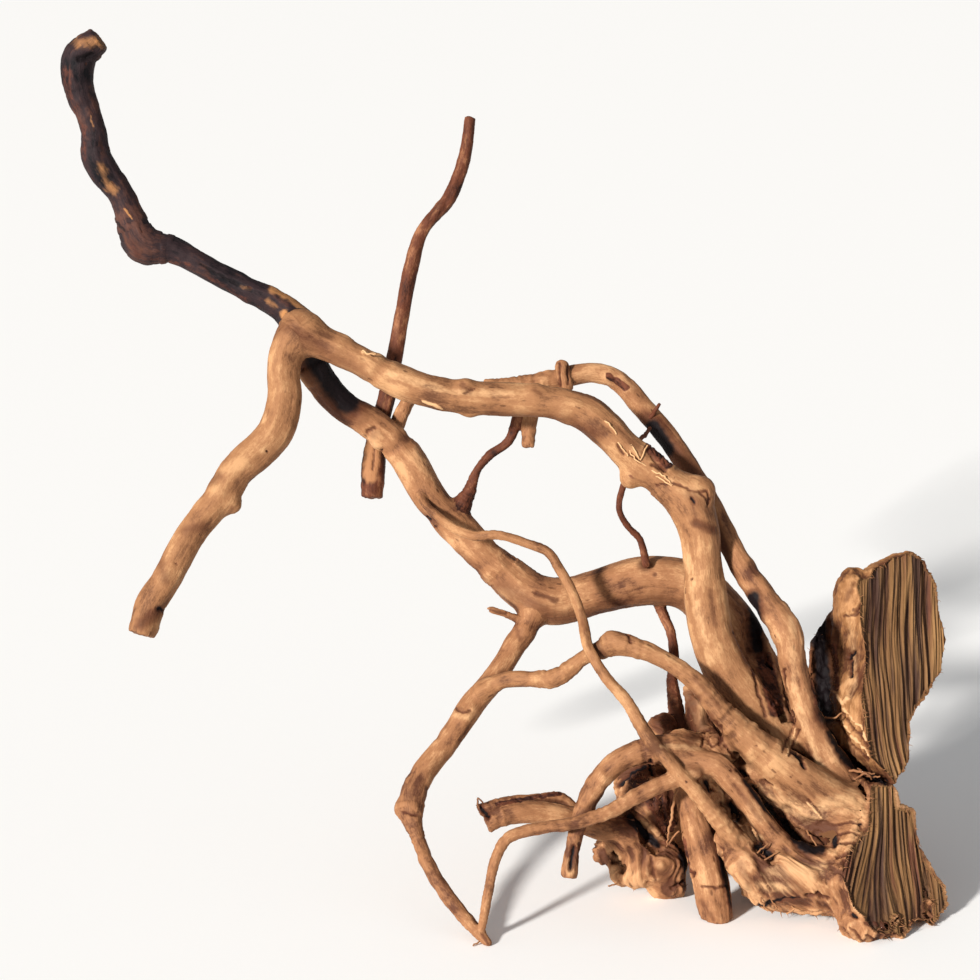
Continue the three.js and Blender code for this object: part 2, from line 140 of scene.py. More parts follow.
# %% Routes of the limbs: squares across, squares down, mm deep, radius in mm
MAIN_LIMB = [
    (83.5, 79.5, 14, 12), (79.5, 75.6, 6, 14.5), (76, 71.6, 1, 14), (73.3, 68, -2, 13.6),
    (71.4, 64, -4, 13.4), (70.6, 60, -5, 12.8), (70.3, 56, -6, 11.2), (69.9, 52.7, -7, 12),
    (68.6, 49.9, -7, 13.2), (66, 47.8, -7, 10.6), (63.2, 45.4, -7, 10.6), (60.6, 43, -8, 10.4),
    (58.6, 41.3, -8, 10.6), (56, 40.4, -8, 9.9), (50, 39.9, -8, 9.8), (44, 39.4, -8, 10.1),
    (39.8, 38.1, -7, 9.8), (36.2, 36.1, -6, 8.8), (32.5, 34.3, -4, 10), (30, 33.2, -2, 11),
]
LEFT_BRANCH = [
    (30.2, 33, -2, 10.6), (28.9, 34.5, -3, 10.4), (28.3, 37.2, -5, 9.6), (28.4, 39.8, -8, 10.3),
    (27.6, 43, -11, 11), (26.1, 44.9, -13, 10.8), (23.5, 47.3, -16, 10.2), (21.8, 50, -19, 9.2),
    (20.2, 52, -21, 8.7), (18.5, 54.4, -23, 8.7), (16.3, 58.5, -27, 9), (15, 60.6, -29, 9),
    (14.2, 63.3, -31, 8.2),
]
HOOKED_BRANCH = [
    (31.5, 33.6, 8, 8), (29.5, 31.8, 7, 9), (27.5, 30.3, 6, 8.4), (24.9, 29, 6, 7.5),
    (20.4, 26.6, 6, 7), (17.4, 25, 6, 8), (14.3, 24.4, 5, 11.4), (13, 21.6, 3, 8.8),
    (12.1, 19.4, 1, 7.8), (10.6, 17.4, -1, 9), (9.6, 15.6, -2, 9), (9.4, 13.4, -3, 7.6),
    (8.8, 11.3, -4, 7.6), (8, 9.4, -5, 8.8), (7.7, 7.4, -6, 9.6), (8, 5.6, -7, 9.9),
    (9.8, 4, -9, 7.8),
]
LOWER_LIMB = [
    (81, 78, 24, 24), (77, 71.5, 30, 24), (74.4, 66.5, 35, 20), (72.4, 62, 38, 16.4),
    (69, 58.7, 38, 15.4), (65, 58, 38, 15.2), (60, 59.2, 38, 13.8), (57, 59.9, 38, 13.8),
    (54.5, 59.9, 38, 14.8), (51.9, 58.6, 38, 13.2), (49.9, 56.8, 37, 11.4), (48.3, 55.4, 36, 10.6),
    (45.9, 52.9, 36, 10.8), (43, 49.8, 35, 10), (40.8, 46, 33, 10.2), (39, 43.8, 31, 9.4),
    (36.8, 42, 29, 9.5), (34.6, 40.8, 26, 9.1), (32.7, 38.9, 22, 9.2), (31.3, 36.6, 15, 10.2),
    (30.6, 34.8, 12, 8.6),
]
LOWER_STUB = [
    (39, 44, 36, 5), (40.1, 41.6, 39, 4.6), (41, 39.6, 40, 4),
]
SIDE_STICK = [
    (47, 11.9, 62, 3.4), (46.5, 15.5, 60, 3.8), (44.9, 19.8, 58, 4.4), (42.3, 23, 56, 4),
    (41.2, 26.4, 54, 4.6), (40.4, 30.4, 51, 4.6), (39.7, 34.4, 48, 4.9), (38.7, 39.5, 44, 5.4),
    (37.7, 43.6, 43, 6.2), (37.3, 47, 42, 7.4), (37.2, 49.6, 41, 6.8),
]
BACK_LIMB = [
    (83.8, 77.8, -4, 13), (82.1, 75, -8, 10.4), (81, 72.4, -9, 8.9), (79.9, 69, -10, 7.8),
    (79.2, 66, -10, 8), (78.7, 63.2, -9, 9.4), (76.6, 60.2, -5, 8.2), (74.7, 57.4, 2, 7.4),
    (73, 54.4, 9, 7), (71.4, 51.2, 16, 6.8), (69.7, 48.2, 24, 6.7), (67.6, 44.8, 28, 6.6),
    (65.8, 42.5, 30, 6.6), (63.2, 39.5, 30, 6.5), (61.4, 37.8, 30, 6.2), (59, 37.3, 29, 6.1),
    (55.5, 37.9, 28, 6), (52, 38.4, 26, 5), (48.6, 38.5, 24, 3.6),
]
TWIN_KNOB = [
    (56.6, 38.6, 24, 4.6), (56.2, 36.7, 22, 4.4),
]
BACK_STUB = [
    (53.2, 38.6, 26, 4.6), (53, 41.4, 26, 5), (52.8, 44.6, 26, 4),
]

# %% [markdown]
# Roots are thinner and turn more sharply. Some run into the burl, some lean on each other,
# and four of them reach the surface that the wood stands on.

# %% Routes of the roots
ARCH_ROOT = [
    (86, 81.2, -16, 14), (82.4, 79.6, -22, 13.5), (78.6, 77, -28, 12), (75, 74, -30, 9.6),
    (72, 71.1, -31, 7.2), (69.6, 68.2, -31, 5.8), (67, 66.3, -30, 5.2), (64.5, 65.1, -28, 5.6),
    (62, 64.4, -25, 6.6), (60.1, 65, -20, 5.6), (58.5, 65.7, -15, 4.6), (57.1, 66.8, -11, 5),
    (55.5, 67.8, -7, 5.6), (53.4, 67.9, -2, 5), (50.5, 68, 4, 5.1), (48.4, 69, 8, 5.6),
]
DOWN_ROOT = [
    (53.4, 60.8, 34, 8.6), (52.6, 63, 30, 7.4), (51.2, 65, 26, 7), (49.3, 68, 18, 7),
    (47.1, 70.6, 10, 7.4), (45.7, 72.8, 5, 7.2), (43.9, 75.3, 0, 6.8), (42.1, 77.6, -6, 7.2),
    (41.3, 79.6, -11, 8), (41.2, 81.6, -16, 6.4), (41.8, 83.8, -22, 4.2), (43, 86.8, -32, 4.4),
    (45.2, 90.2, -44, 4.2), (47.4, 92.8, -54, 3.8), (48.8, 94.3, -60, 2.6),
]
SIDE_TWIG = [
    (52.4, 62.2, 30, 3.4), (51, 61.6, 28, 2.2), (49.2, 61, 26, 2.2),
]
THIN_ROOT = [
    (41.9, 49, 28, 2), (42.5, 50.4, 22, 2.5), (43.9, 51.7, 15, 2.8), (45.6, 52.9, 9, 3),
    (47.6, 53.6, 3, 3), (49.9, 53.5, -1, 2.7), (52.8, 54.4, -4, 2.8), (54.8, 55.2, -5, 3),
    (56, 57, -6, 3), (57.4, 59.6, -9, 3.1), (58.3, 62.2, -16, 3.2), (58.9, 64.9, -27, 3.2),
    (60.6, 67.7, -33, 3.3), (62.8, 70.3, -37, 3.7), (64.6, 73.4, -41, 4.2), (67.4, 76.7, -44, 4.3),
    (69.8, 79.5, -46, 4.6), (72.1, 82.3, -46, 5.6), (74.4, 85.4, -43, 7),
]
BENT_ROOT = [
    (69, 75.2, -26, 10), (66.4, 75, -34, 9), (63.6, 75.3, -37, 7.2), (61, 76.8, -38, 6.8),
    (59.2, 79.2, -39, 6.2), (58, 82, -39, 5.2), (57.3, 84.6, -39, 4.4), (56.9, 87.6, -39, 4.8),
]
FRONT_ROOT = [
    (69.4, 77.2, -40, 5.6), (66.4, 78.3, -43, 5), (63.2, 79.9, -46, 4.6), (60.6, 81.3, -48, 4.2),
    (57, 82.4, -50, 3.8), (53.6, 82.9, -52, 3.6), (50.8, 83.8, -54, 3.4), (49.6, 85.8, -56, 3.2),
    (48.9, 88.8, -58, 2.9), (48.4, 91.6, -59, 2.6), (48.1, 93.2, -58, 2.2),
]
BROKEN_ROOT = [
    (63, 83, -6, 8), (59.6, 82.6, -14, 7.4), (56.2, 81.6, -20, 6.4), (53.4, 81.2, -24, 6.6),
    (50.6, 81.4, -27, 6.4), (48.8, 82.4, -28, 5.2),
]
STUB_BARK = [
    (57.4, 81.2, -12, 4), (56.2, 79.9, -12, 3.8), (53.4, 79.9, -16, 3), (50.6, 80.2, -20, 3.4),
    (48.4, 81, -22, 4.4), (47.6, 81, -22, 3.6),
]
CUT_ROOT = [
    (68.4, 77.5, -10, 9), (69.1, 80.6, -16, 8.6), (70, 83.6, -21, 10), (71, 87.6, -24, 10.6),
    (71.6, 91.6, -23, 10), (71.8, 93, -22, 9.6),
]
FORKED_ROOT = [
    (68.6, 76, -34, 7.4), (71.6, 76.6, -37, 7.2), (73.6, 78.6, -38, 7), (75.4, 81, -38, 6.6),
    (77, 83.2, -38, 6.6), (79.2, 85.4, -39, 8), (82, 87, -40, 11),
]
WAVY_ROOT = [
    (63.2, 46.6, 4, 2.4), (62.2, 49, 8, 2), (61.9, 50.8, 12, 1.9), (62.6, 52.4, 16, 2),
    (64, 54, 20, 2.2), (64.6, 56.4, 22, 2.6),
]
HANGING_ROOT = [
    (65.6, 59.4, 42, 4.4), (66.2, 61.2, 42, 3.4), (67, 63, 38, 3.1), (67.4, 65.4, 32, 3),
    (67.2, 68, 22, 3.4), (67.5, 70.2, 13, 4.4), (67.9, 72.8, 6, 5.4),
]
LINK_ROOT = [
    (52, 39.6, 24, 3.2), (51.6, 42.2, 26, 3.2), (50.8, 44.2, 28, 2.8), (48.9, 45.6, 30, 2.8),
    (47.6, 47.2, 32, 2.6), (47, 49, 34, 4), (46, 50.8, 35, 6.4),
]
REAR_ROOT = [
    (78, 80, 52, 20), (72, 81.6, 66, 15), (67, 83.6, 73, 11.6), (63.6, 85.6, 74, 9),
]

# %% [markdown]
# The burl and the stump have no single middle line. They are built as a sculptor adds clay:
# egg-shaped lumps, each with its half sizes across, up and deep, plus a few thick short
# routes for ridges. Small lumps on the limbs are healed knots.

# %% Lumps of the burl, the stump and the knots
BURL_LUMPS = [
    (82, 82, 16, 42, 34, 48), (77.8, 73.2, 22, 24, 26, 26), (79, 81.5, 54, 44, 38, 34),
    (85, 87.6, -32, 21, 24, 26), (86.8, 92, -48, 18, 12.5, 14), (80, 88.6, -18, 34, 16, 30),
    (72.2, 78.2, 8, 29, 26, 30), (64.8, 80.4, 8, 19, 21, 17), (65.4, 86.2, 5, 19, 12, 15),
    (67, 88.7, 6, 10, 7.4, 10), (63, 87.2, 3, 11, 8.6, 9), (60.7, 85.2, 3, 9, 9, 8),
    (72.3, 80.4, -22, 9, 11, 9), (71.4, 75, -18, 13, 11, 13), (67.6, 74.7, -22, 12.5, 10.4, 13),
    (66.2, 72.4, -4, 9, 8, 9), (86.4, 77.6, 22, 13, 11, 14), (78.6, 79.8, -16, 17, 9, 14),
    (82.6, 81.6, -22, 20, 10, 15), (84.8, 84, -30, 13, 10, 12), (76, 79.2, -20, 13, 8, 12),
    (75, 77.8, -22, 9, 7, 11), (79, 86.6, -36, 20, 12, 15), (82.6, 87.6, -38, 18, 12, 15),
    (64.4, 78, 8, 15, 15, 13),
]
FRONT_MASS = [
    (72.8, 83.4, -38, 8), (75.2, 86.6, -42, 12), (78.6, 88, -43, 12), (82.4, 87.6, -42, 13),
    (86, 88, -38, 15),
]
CONE_ROOT = [
    (71.6, 74.6, 0, 12), (70, 71.4, 2, 9), (69.2, 69, 4, 3.4),
]
KNOB_ROOT = [
    (66.4, 86.2, 5, 9), (63.4, 84.4, -4, 9), (60.6, 82.6, -8, 7.6),
]
SLAB_LUMPS = [
    (83.6, 67, 44, 17, 34, 14), (84.2, 74.5, 38, 18, 24, 22), (85.2, 60, 33, 12, 20, 14),
]
LIMB_KNOTS = [
    (46.6, 38.6, -13, 3.8), (47, 41.1, -6, 2.2), (53.6, 39.1, -13, 3), (63, 47.9, -8, 5),
    (70.2, 49, -11, 8),
]
BRANCH_KNOTS = [
    (23.4, 50.6, -20, 4.2),
]
ARCH_KNOTS = [
    (61, 63.8, -24, 3.6),
]
DOWN_KNOTS = [
    (40.1, 81, -13, 3.6),
]

# %% [markdown]
# ## Rounding one shape into another
#
# The plain union of two fields is the smaller of the two values. Where the values are
# close, this softer version dips below both, and that fills the corner with a fillet.

# %% Soft union and soft cut
def smooth_min(a, b, soft):
    """The smaller of two distances, with the corner between them filled over soft mm."""
    overlap = np.maximum(soft - np.abs(a - b), 0) / soft
    return np.minimum(a, b) - overlap * overlap * soft / 4


def smooth_max(a, b, soft):
    """The larger of two distances, with its edge worn round over soft mm."""
    return -smooth_min(-a, -b, soft)


# %% [markdown]
# ## The two sawn faces
#
# One stroke of a saw made both faces, so they lie in one plane. On the sketch that plane
# gets deeper by the same step for every square to the right and upwards. Each face is an
# outline on the plane, and the wood behind it is that outline drawn back and narrowed.

# %% The saw's plane and the outlines on it
SAW = {"across": 85, "down": 89, "depth": -62.6, "per_across": 4.2, "per_up": 2.56}
SAW_SLOPE = math.sqrt(1 + (SAW["per_across"] / SQUARE) ** 2 + (SAW["per_up"] / SQUARE) ** 2)
SLAB_FACE = [
    (87.4, 56.8), (89.2, 55.7), (91, 55.1), (92.7, 56), (93.6, 58.4), (93.9, 61.1), (94.7, 64),
    (94.2, 67.2), (92.4, 69.8), (91.1, 72.2), (91, 76), (89.6, 78.3), (87, 75.6), (86.1, 70),
    (86.6, 65.4), (85.9, 61),
]
LOWER_FACE = [
    (87.1, 78.4), (89.4, 78.7), (89.7, 80.8), (91.3, 81.1), (91.9, 84), (93, 86.8), (94.4, 88.6),
    (94.8, 90.6), (93.3, 92.5), (92, 92), (90.4, 93.6), (88.2, 93), (85.4, 90.6), (84.2, 87.6),
    (85, 85.4), (86.9, 83.4),
]
# How far the back of each block lies to the right, behind and up, and how much it narrows
SLAB_BACK = {"way": (-23, 42, -4), "narrowing": 0.25}
HEART_BACK = {"way": (-30, 90, 9), "narrowing": 0.2}


def saw_depth(across, down):
    """How deep the saw's plane lies at a place on the sketch."""
    right_part = SAW["per_across"] * (across - SAW["across"])
    up_part = SAW["per_up"] * (SAW["down"] - down)
    return SAW["depth"] + right_part + up_part


# %% Distance to an outline
def outline_distance(x, y, corners):
    """Distance to a closed outline in the plane, negative inside it."""
    ends = np.roll(corners, -1, axis=0)
    edge = ends - corners
    from_x = x[:, None] - corners[:, 0]
    from_y = y[:, None] - corners[:, 1]
    share = (from_x * edge[:, 0] + from_y * edge[:, 1]) / (edge**2).sum(axis=1)
    share = np.clip(share, 0, 1)
    nearest = np.hypot(from_x - share * edge[:, 0], from_y - share * edge[:, 1]).min(axis=1)
    above = y[:, None] >= corners[:, 1]
    below = y[:, None] < ends[:, 1]
    left = edge[:, 0] * from_y > edge[:, 1] * from_x
    crossings = ((above & below & left) | (~above & ~below & ~left)).sum(axis=1)
    return np.where(crossings % 2 == 1, -nearest, nearest)


def sawn_block(points, outline, back):
    """Distance to the wood behind a sawn outline, its front standing a little proud."""
    corners = np.array(outline, float)
    middle = (corners.min(axis=0) + corners.max(axis=0)) / 2
    across, down, depth = sketched(points)
    under = (depth - saw_depth(across, down)) / SAW_SLOPE
    way = np.array(back["way"]) @ AXES
    normal = np.array([SAW["per_across"] / SQUARE, -1, SAW["per_up"] / SQUARE]) / SAW_SLOPE
    reach = -np.dot(way, normal @ AXES)
    share = under / reach
    across, down, _ = sketched(points - share[:, None] * way)
    narrowing = 1 - back["narrowing"] * np.clip(share, 0, 1) ** 2
    corners = (corners - middle) * SQUARE
    side = outline_distance(
        (across - middle[0]) * SQUARE / narrowing, (down - middle[1]) * SQUARE / narrowing, corners
    )
    return smooth_max(smooth_max(side * narrowing, under - reach, 12), -under - 4, 1)


# %% [markdown]
# ## From routes to short straight stretches
#
# A smooth curve is drawn through each route and cut into stretches of a few mm. Every
# stretch also carries two directions square to it. They turn as little as possible from one
# stretch to the next, so that the grain can later follow a limb without twisting round it.

# %% Sampling a route
STRETCH = 3.5  # mm


def smooth_route(route, spacing=STRETCH):
    """Points and radii every few mm on a curve through a route, its corners kept tight."""
    route = np.array(route, float)
    knots = np.column_stack([place(*route[:, :3].T), route[:, 3]])
    knots = np.vstack([2 * knots[0] - knots[1], knots, 2 * knots[-1] - knots[-2]])
    knots[:, 3] = np.maximum(knots[:, 3], 0.5)
    samples = []
    for a, b, c, d in zip(knots, knots[1:], knots[2:], knots[3:]):
        gaps = [math.sqrt(np.linalg.norm(q[:3] - p[:3])) for p, q in ((a, b), (b, c), (c, d))]
        t0, t1, t2, t3 = np.cumsum([0] + gaps)
        count = max(2, round(np.linalg.norm(c[:3] - b[:3]) / spacing))
        for t in np.linspace(t1, t2, count, endpoint=False):
            ab = a + (b - a) * (t - t0) / (t1 - t0)
            bc = b + (c - b) * (t - t1) / (t2 - t1)
            cd = c + (d - c) * (t - t2) / (t3 - t2)
            first = ab + (bc - ab) * (t - t0) / (t2 - t0)
            second = bc + (cd - bc) * (t - t1) / (t3 - t1)
            samples.append(first + (second - first) * (t - t1) / (t2 - t1))
    samples.append(knots[-2])
    return np.array(samples)


def carried_directions(points):
    """For each point of a path, one direction square to it, turning as little as can be."""
    way = np.gradient(points, axis=0)
    way /= np.linalg.norm(way, axis=1)[:, None]
    side = np.cross(way[0], [0.3, 1, 0.2])
    sides = []
    for step in way:
        side = side - step * np.dot(side, step)
        side = side / np.linalg.norm(side)
        sides.append(side)
    return np.array(sides)


# %% [markdown]
# ## The parts of the wood
#
# One table says what each part is made of and how softly it joins what came before it. The
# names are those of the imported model's nodes, because each part will stand for its node.

# %% Table of parts
PARTS = {
    "root_burl": {"routes": [FRONT_MASS, CONE_ROOT, KNOB_ROOT], "lumps": BURL_LUMPS, "soft": 9},
    "stump_slab": {"routes": [], "lumps": SLAB_LUMPS, "soft": 4},
    "main_limb": {"routes": [MAIN_LIMB], "lumps": LIMB_KNOTS, "soft": 8},
    "left_branch": {"routes": [LEFT_BRANCH], "lumps": BRANCH_KNOTS, "soft": 8},
    "lower_limb": {"routes": [LOWER_LIMB, LOWER_STUB], "lumps": [], "soft": 7},
    "hooked_branch": {"routes": [HOOKED_BRANCH], "lumps": [], "soft": 6},
    "side_stick": {"routes": [SIDE_STICK], "lumps": [], "soft": 3},
    "back_limb": {"routes": [BACK_LIMB, TWIN_KNOB, BACK_STUB], "lumps": [], "soft": 5},
    "arch_root": {"routes": [ARCH_ROOT], "lumps": ARCH_KNOTS, "soft": 6},
    "down_root": {"routes": [DOWN_ROOT, SIDE_TWIG], "lumps": DOWN_KNOTS, "soft": 5},
    "bent_root": {"routes": [BENT_ROOT], "lumps": [], "soft": 4},
    "broken_root": {"routes": [BROKEN_ROOT, STUB_BARK], "lumps": [], "soft": 2},
    "cut_root": {"routes": [CUT_ROOT], "lumps": [], "soft": 3},
    "forked_root": {"routes": [FORKED_ROOT], "lumps": [], "soft": 4},
    "front_root": {"routes": [FRONT_ROOT], "lumps": [], "soft": 2},
    "thin_root": {"routes": [THIN_ROOT], "lumps": [], "soft": 2},
    "wavy_root": {"routes": [WAVY_ROOT], "lumps": [], "soft": 2},
    "hanging_root": {"routes": [HANGING_ROOT], "lumps": [], "soft": 2},
    "link_root": {"routes": [LINK_ROOT], "lumps": [], "soft": 3},
    "rear_root": {"routes": [REAR_ROOT], "lumps": [], "soft": 7},
}
NAMES = list(PARTS)
BURL = NAMES.index("root_burl")
SLAB = NAMES.index("stump_slab")

# %% [markdown]
# The stretches of all routes go into a few long arrays, and so do the lumps. Arithmetic on
# whole arrays is hundreds of times faster than a Python loop over points.

# %% Stretches and lumps as arrays
KEYS = ("part", "start", "way", "radius", "widening", "along", "side", "side_turn")
stretches = {key: [] for key in KEYS}
for number, part in enumerate(PARTS.values()):
    for route in part["routes"]:
        samples = smooth_route(route)
        side = carried_directions(samples[:, :3])
        ways = np.diff(samples[:, :3], axis=0)
        lengths = np.linalg.norm(ways, axis=1)
        stretches["part"].extend([number] * len(ways))
        stretches["start"].extend(samples[:-1, :3])
        stretches["way"].extend(ways)
        stretches["radius"].extend(samples[:-1, 3])
        stretches["widening"].extend(np.diff(samples[:, 3]))
        stretches["along"].extend(np.cumsum(lengths) - lengths)
        stretches["side"].extend(side[:-1])
        stretches["side_turn"].extend(np.diff(side, axis=0))
stretches = {key: np.array(rows) for key, rows in stretches.items()}
lump_rows = []
for number, part in enumerate(PARTS.values()):
    lump_rows.extend((number, *lump) for lump in part["lumps"])
lump_part = np.array([row[0] for row in lump_rows])
lump_middle = np.array([place(*row[1:4]) for row in lump_rows])
# Three half sizes are given across, up and deep; a knot gives one for all
half_sizes = [(row[4], row[-1], row[5]) if len(row) == 7 else (row[4],) * 3 for row in lump_rows]
lump_half = np.array(half_sizes)
print(len(stretches["part"]), "stretches and", len(lump_rows), "lumps")

# %% [markdown]
# ## The field
#
# For one small block of space, only the stretches and lumps near it matter. The distance to
# a stretch is that to its middle line, less its radius there. The distance to a lump is
# found by squeezing space until the lump is a ball of radius one.

# %% Distances to stretches and lumps
stretch_length = np.linalg.norm(stretches["way"], axis=1)
stretch_middle = stretches["start"] + stretches["way"] / 2
stretch_reach = stretch_length / 2 + stretches["radius"] + np.abs(stretches["widening"])
lump_reach = lump_half.max(axis=1)


def stretch_shares(points, chosen):
    """How far along each chosen stretch each point is, from 0 to 1, and its distance to it."""
    origin = points.mean(axis=0)
    local = points - origin
    start = stretches["start"][chosen] - origin
    way = stretches["way"][chosen]
    length = stretch_length[chosen] ** 2
    along = local @ way.T - (start * way).sum(axis=1)
    share = np.clip(along / length, 0, 1)
    square = (local**2).sum(axis=1)[:, None] - 2 * local @ start.T + (start**2).sum(axis=1)
    square += share * (share * length - 2 * along)
    radius = stretches["radius"][chosen] + share * stretches["widening"][chosen]
    return share, np.sqrt(np.maximum(square, 0)) - radius


def lump_distance(points, number):
    """Distance to one egg-shaped lump, close to exact near its surface."""
    local = (points - lump_middle[number]) @ AXES.T / lump_half[number]
    size = np.sqrt((local**2).sum(axis=1)) + 1e-6
    steepness = np.sqrt(((local / lump_half[number]) ** 2).sum(axis=1)) + 1e-6
    return size * (size - 1) / steepness


# %% [markdown]
# ### Ridges that the saw left
#
# The saw tore more than it cut, and left upright ridges and grooves on both faces. They are
# stretched noise: bumps that are ten times as long as they are wide. The noise is made from
# a random slope at each corner of a lattice, mixed smoothly in between.

# %% Noise
SLOPES = np.array(
    [corner for corner in itertools.product((-1, 0, 1), repeat=3) if sum(map(abs, corner)) == 2]
    + [(1, 1, 0), (-1, 1, 0), (0, -1, 1), (0, -1, -1)],
    float,
)


def noise(points, seed):
    """Smooth noise from about -1 to 1 whose bumps are about one unit wide."""
    cell = np.floor(points)
    inside = points - cell
    cell = cell.astype(np.int64)
    fade = inside**3 * (inside * (inside * 6 - 15) + 10)
    total = np.zeros(len(points))
    for corner in itertools.product((0, 1), repeat=3):
        at = cell + corner
        key = at[:, 0] * 374761393 + at[:, 1] * 668265263 + at[:, 2] * 1103515245 + seed * 12345701
        key = ((key & 0xFFFFFFFF) ^ ((key & 0xFFFFFFFF) >> 13)) * 1274126177 & 0xFFFFFFFF
        slope = SLOPES[(key >> 16) & 15]
        value = ((inside - corner) * slope).sum(axis=1)
        total += value * np.where(corner, fade, 1 - fade).prod(axis=1)
    return total * 1.4


def crests(values):
    """Turns smooth noise into sharp crests with round valleys, from 0 to 1."""
    return 1 - np.abs(values)


# %% Relief of the sawn faces
def saw_lines(across, down):
    """Which line of the torn grain runs through a place on a sawn face, in squares."""
    fanned = np.clip(0.07 * (across - 88.3), -0.17, 0.12) * (down - 83)
    bent = 0.011 * np.maximum(down - 66, 0) ** 2
    wander = 0.1 * np.sin(down * 0.55 + across * 0.4)
    return across - np.where(down > 78.2, fanned, bent) + wander


def saw_depths(across, down):
    """How far below the saw's plane the torn wood is, in mm."""
    line = saw_lines(across, down)
    flat = np.zeros(len(across))
    broad = noise(np.column_stack([line * 0.6, down * 0.07, flat]), 3)
    ridges = crests(noise(np.column_stack([line * 1.5, down * 0.06, flat]), 4))
    splinters = crests(noise(np.column_stack([line * 3.4, down * 0.09, flat]), 6))
    fine = noise(np.column_stack([line * 7, down * 0.2, flat]), 5)
    return 0.8 + 0.9 * broad + 2.4 * (1 - ridges) + 1.2 * (1 - splinters) + 0.35 * fine


# %% [markdown]
# ### Hollows and flat ends
#
# Between the roots the burl is eaten away into dark hollows. A hollow is a route too, but
# it is taken out of the wood instead of being added. A route also ends in a ball, as wide as
# the route. Where the real limb was sawn or snapped, a plane across its end takes the ball
# away.

# %% Routes of the hollows, and the ends that are cut
FAR = 99.0  # mm, a distance that plays no part
HOLLOWS = [
    [(75.4, 60.2, 22, 4), (75.6, 62.4, 24, 8), (75.6, 64.6, 22, 8), (76.6, 66.2, 18, 5)],
    [(82.2, 62.4, 40, 6), (82.4, 66, 38, 8), (82.6, 70, 30, 7), (83, 72.4, 16, 4)],
    [(83.2, 73, 8, 3), (84, 75.2, 0, 4), (85.2, 76.6, -4, 3.8), (86.6, 77.6, -8, 3.6),
     (88.4, 78.3, -13, 2.6)],
    [(76, 68.4, 0, 3.4), (76.6, 70, -4, 3), (77.8, 71.6, -4, 5.4), (79.2, 71.6, -8, 3)],
    [(78.4, 81.9, -22, 3.4), (79.5, 83.3, -27, 4), (80.7, 84.4, -31, 4.8), (82.2, 84.6, -33, 5),
     (83.4, 84, -33, 4.2)],
    [(72.6, 80.2, -30, 4), (73.6, 81.5, -28, 4.4)],
    [(75.9, 84.7, -47, 4), (77.2, 85.7, -50, 4.6)],
    [(70.6, 78.3, -22, 4.6), (70.9, 79.2, -20, 3.6)],
    [(72, 85.2, -40, 2.6), (72.5, 87.4, -36, 3.2), (73, 89.6, -36, 3.2), (73.6, 91, -34, 3.4)],
    [(62.8, 81.8, -4, 4), (64.4, 83.2, -6, 6), (65.8, 84.6, -8, 5)],
    [(67.9, 82.8, -8, 3.4), (68.4, 85.6, -10, 4.6), (69, 88.6, -12, 4)],
    [(61.4, 85, -4, 3), (62, 86.8, -4, 3.6)],
    [(87.4, 92.5, -56, 1.6), (88.6, 92.7, -52, 3), (89.6, 91.8, -48, 2.6)],
    [(92.9, 87.4, -27, 1.4), (93, 89.4, -31, 1.8), (92.8, 91.4, -35, 3)],
    [(74.2, 77.8, -30, 2.4), (76, 80.3, -31, 2.6), (77.8, 82.1, -30, 2.8)],
]
CUT_ENDS = [
    ("left_branch", LEFT_BRANCH), ("hooked_branch", HOOKED_BRANCH), ("side_stick", SIDE_STICK),
    ("side_stick", SIDE_STICK[::-1]), ("lower_limb", LOWER_STUB), ("back_limb", BACK_LIMB),
    ("back_limb", BACK_STUB), ("broken_root", BROKEN_ROOT), ("bent_root", BENT_ROOT),
]
hollow_samples = [smooth_route(route) for route in HOLLOWS]


def hollow_distance(points):
    """Distance to the nearest hollow, its wall made uneven."""
    nearest = np.full(len(points), FAR)
    middle = points.mean(axis=0)
    cloud = np.linalg.norm(points - middle, axis=1).max()
    for samples in hollow_samples:
        if np.linalg.norm(samples[:, :3] - middle, axis=1).min() > cloud + 20:
            continue
        offset = points[:, None] - samples[:, :3]
        nearest = np.minimum(nearest, (np.linalg.norm(offset, axis=2) - samples[:, 3]).min(axis=1))
    if nearest.min() < 8:
        nearest = nearest + 1.3 * noise(points / 4.5, 41)
    return nearest


def beyond_end(points, route):
    """How far points lie beyond the plane across the end of a route; far ones don't count."""
    end, before = [np.array(place(*spot[:3])) for spot in (route[-1], route[-2])]
    way = (end - before) / np.linalg.norm(end - before)
    offset = points - end
    beyond = offset @ way - 1 + 0.5 * noise(points / 2.6, 42)
    return np.where(np.linalg.norm(offset, axis=1) < 3 * route[-1][3], beyond, -FAR)


# %% The distance to each part, and to the whole wood
LUMP_SOFT = 9  # mm over which the lumps of a part flow together


def near(points, slack):
    """The stretches and lumps that come within slack mm of a small cloud of points."""
    middle = points.mean(axis=0)
    cloud = np.linalg.norm(points - middle, axis=1).max() + slack
    close = np.linalg.norm(stretch_middle - middle, axis=1) < stretch_reach + cloud
    close_lumps = np.linalg.norm(lump_middle - middle, axis=1) < lump_reach + cloud
    return np.nonzero(close)[0], np.nonzero(close_lumps)[0]


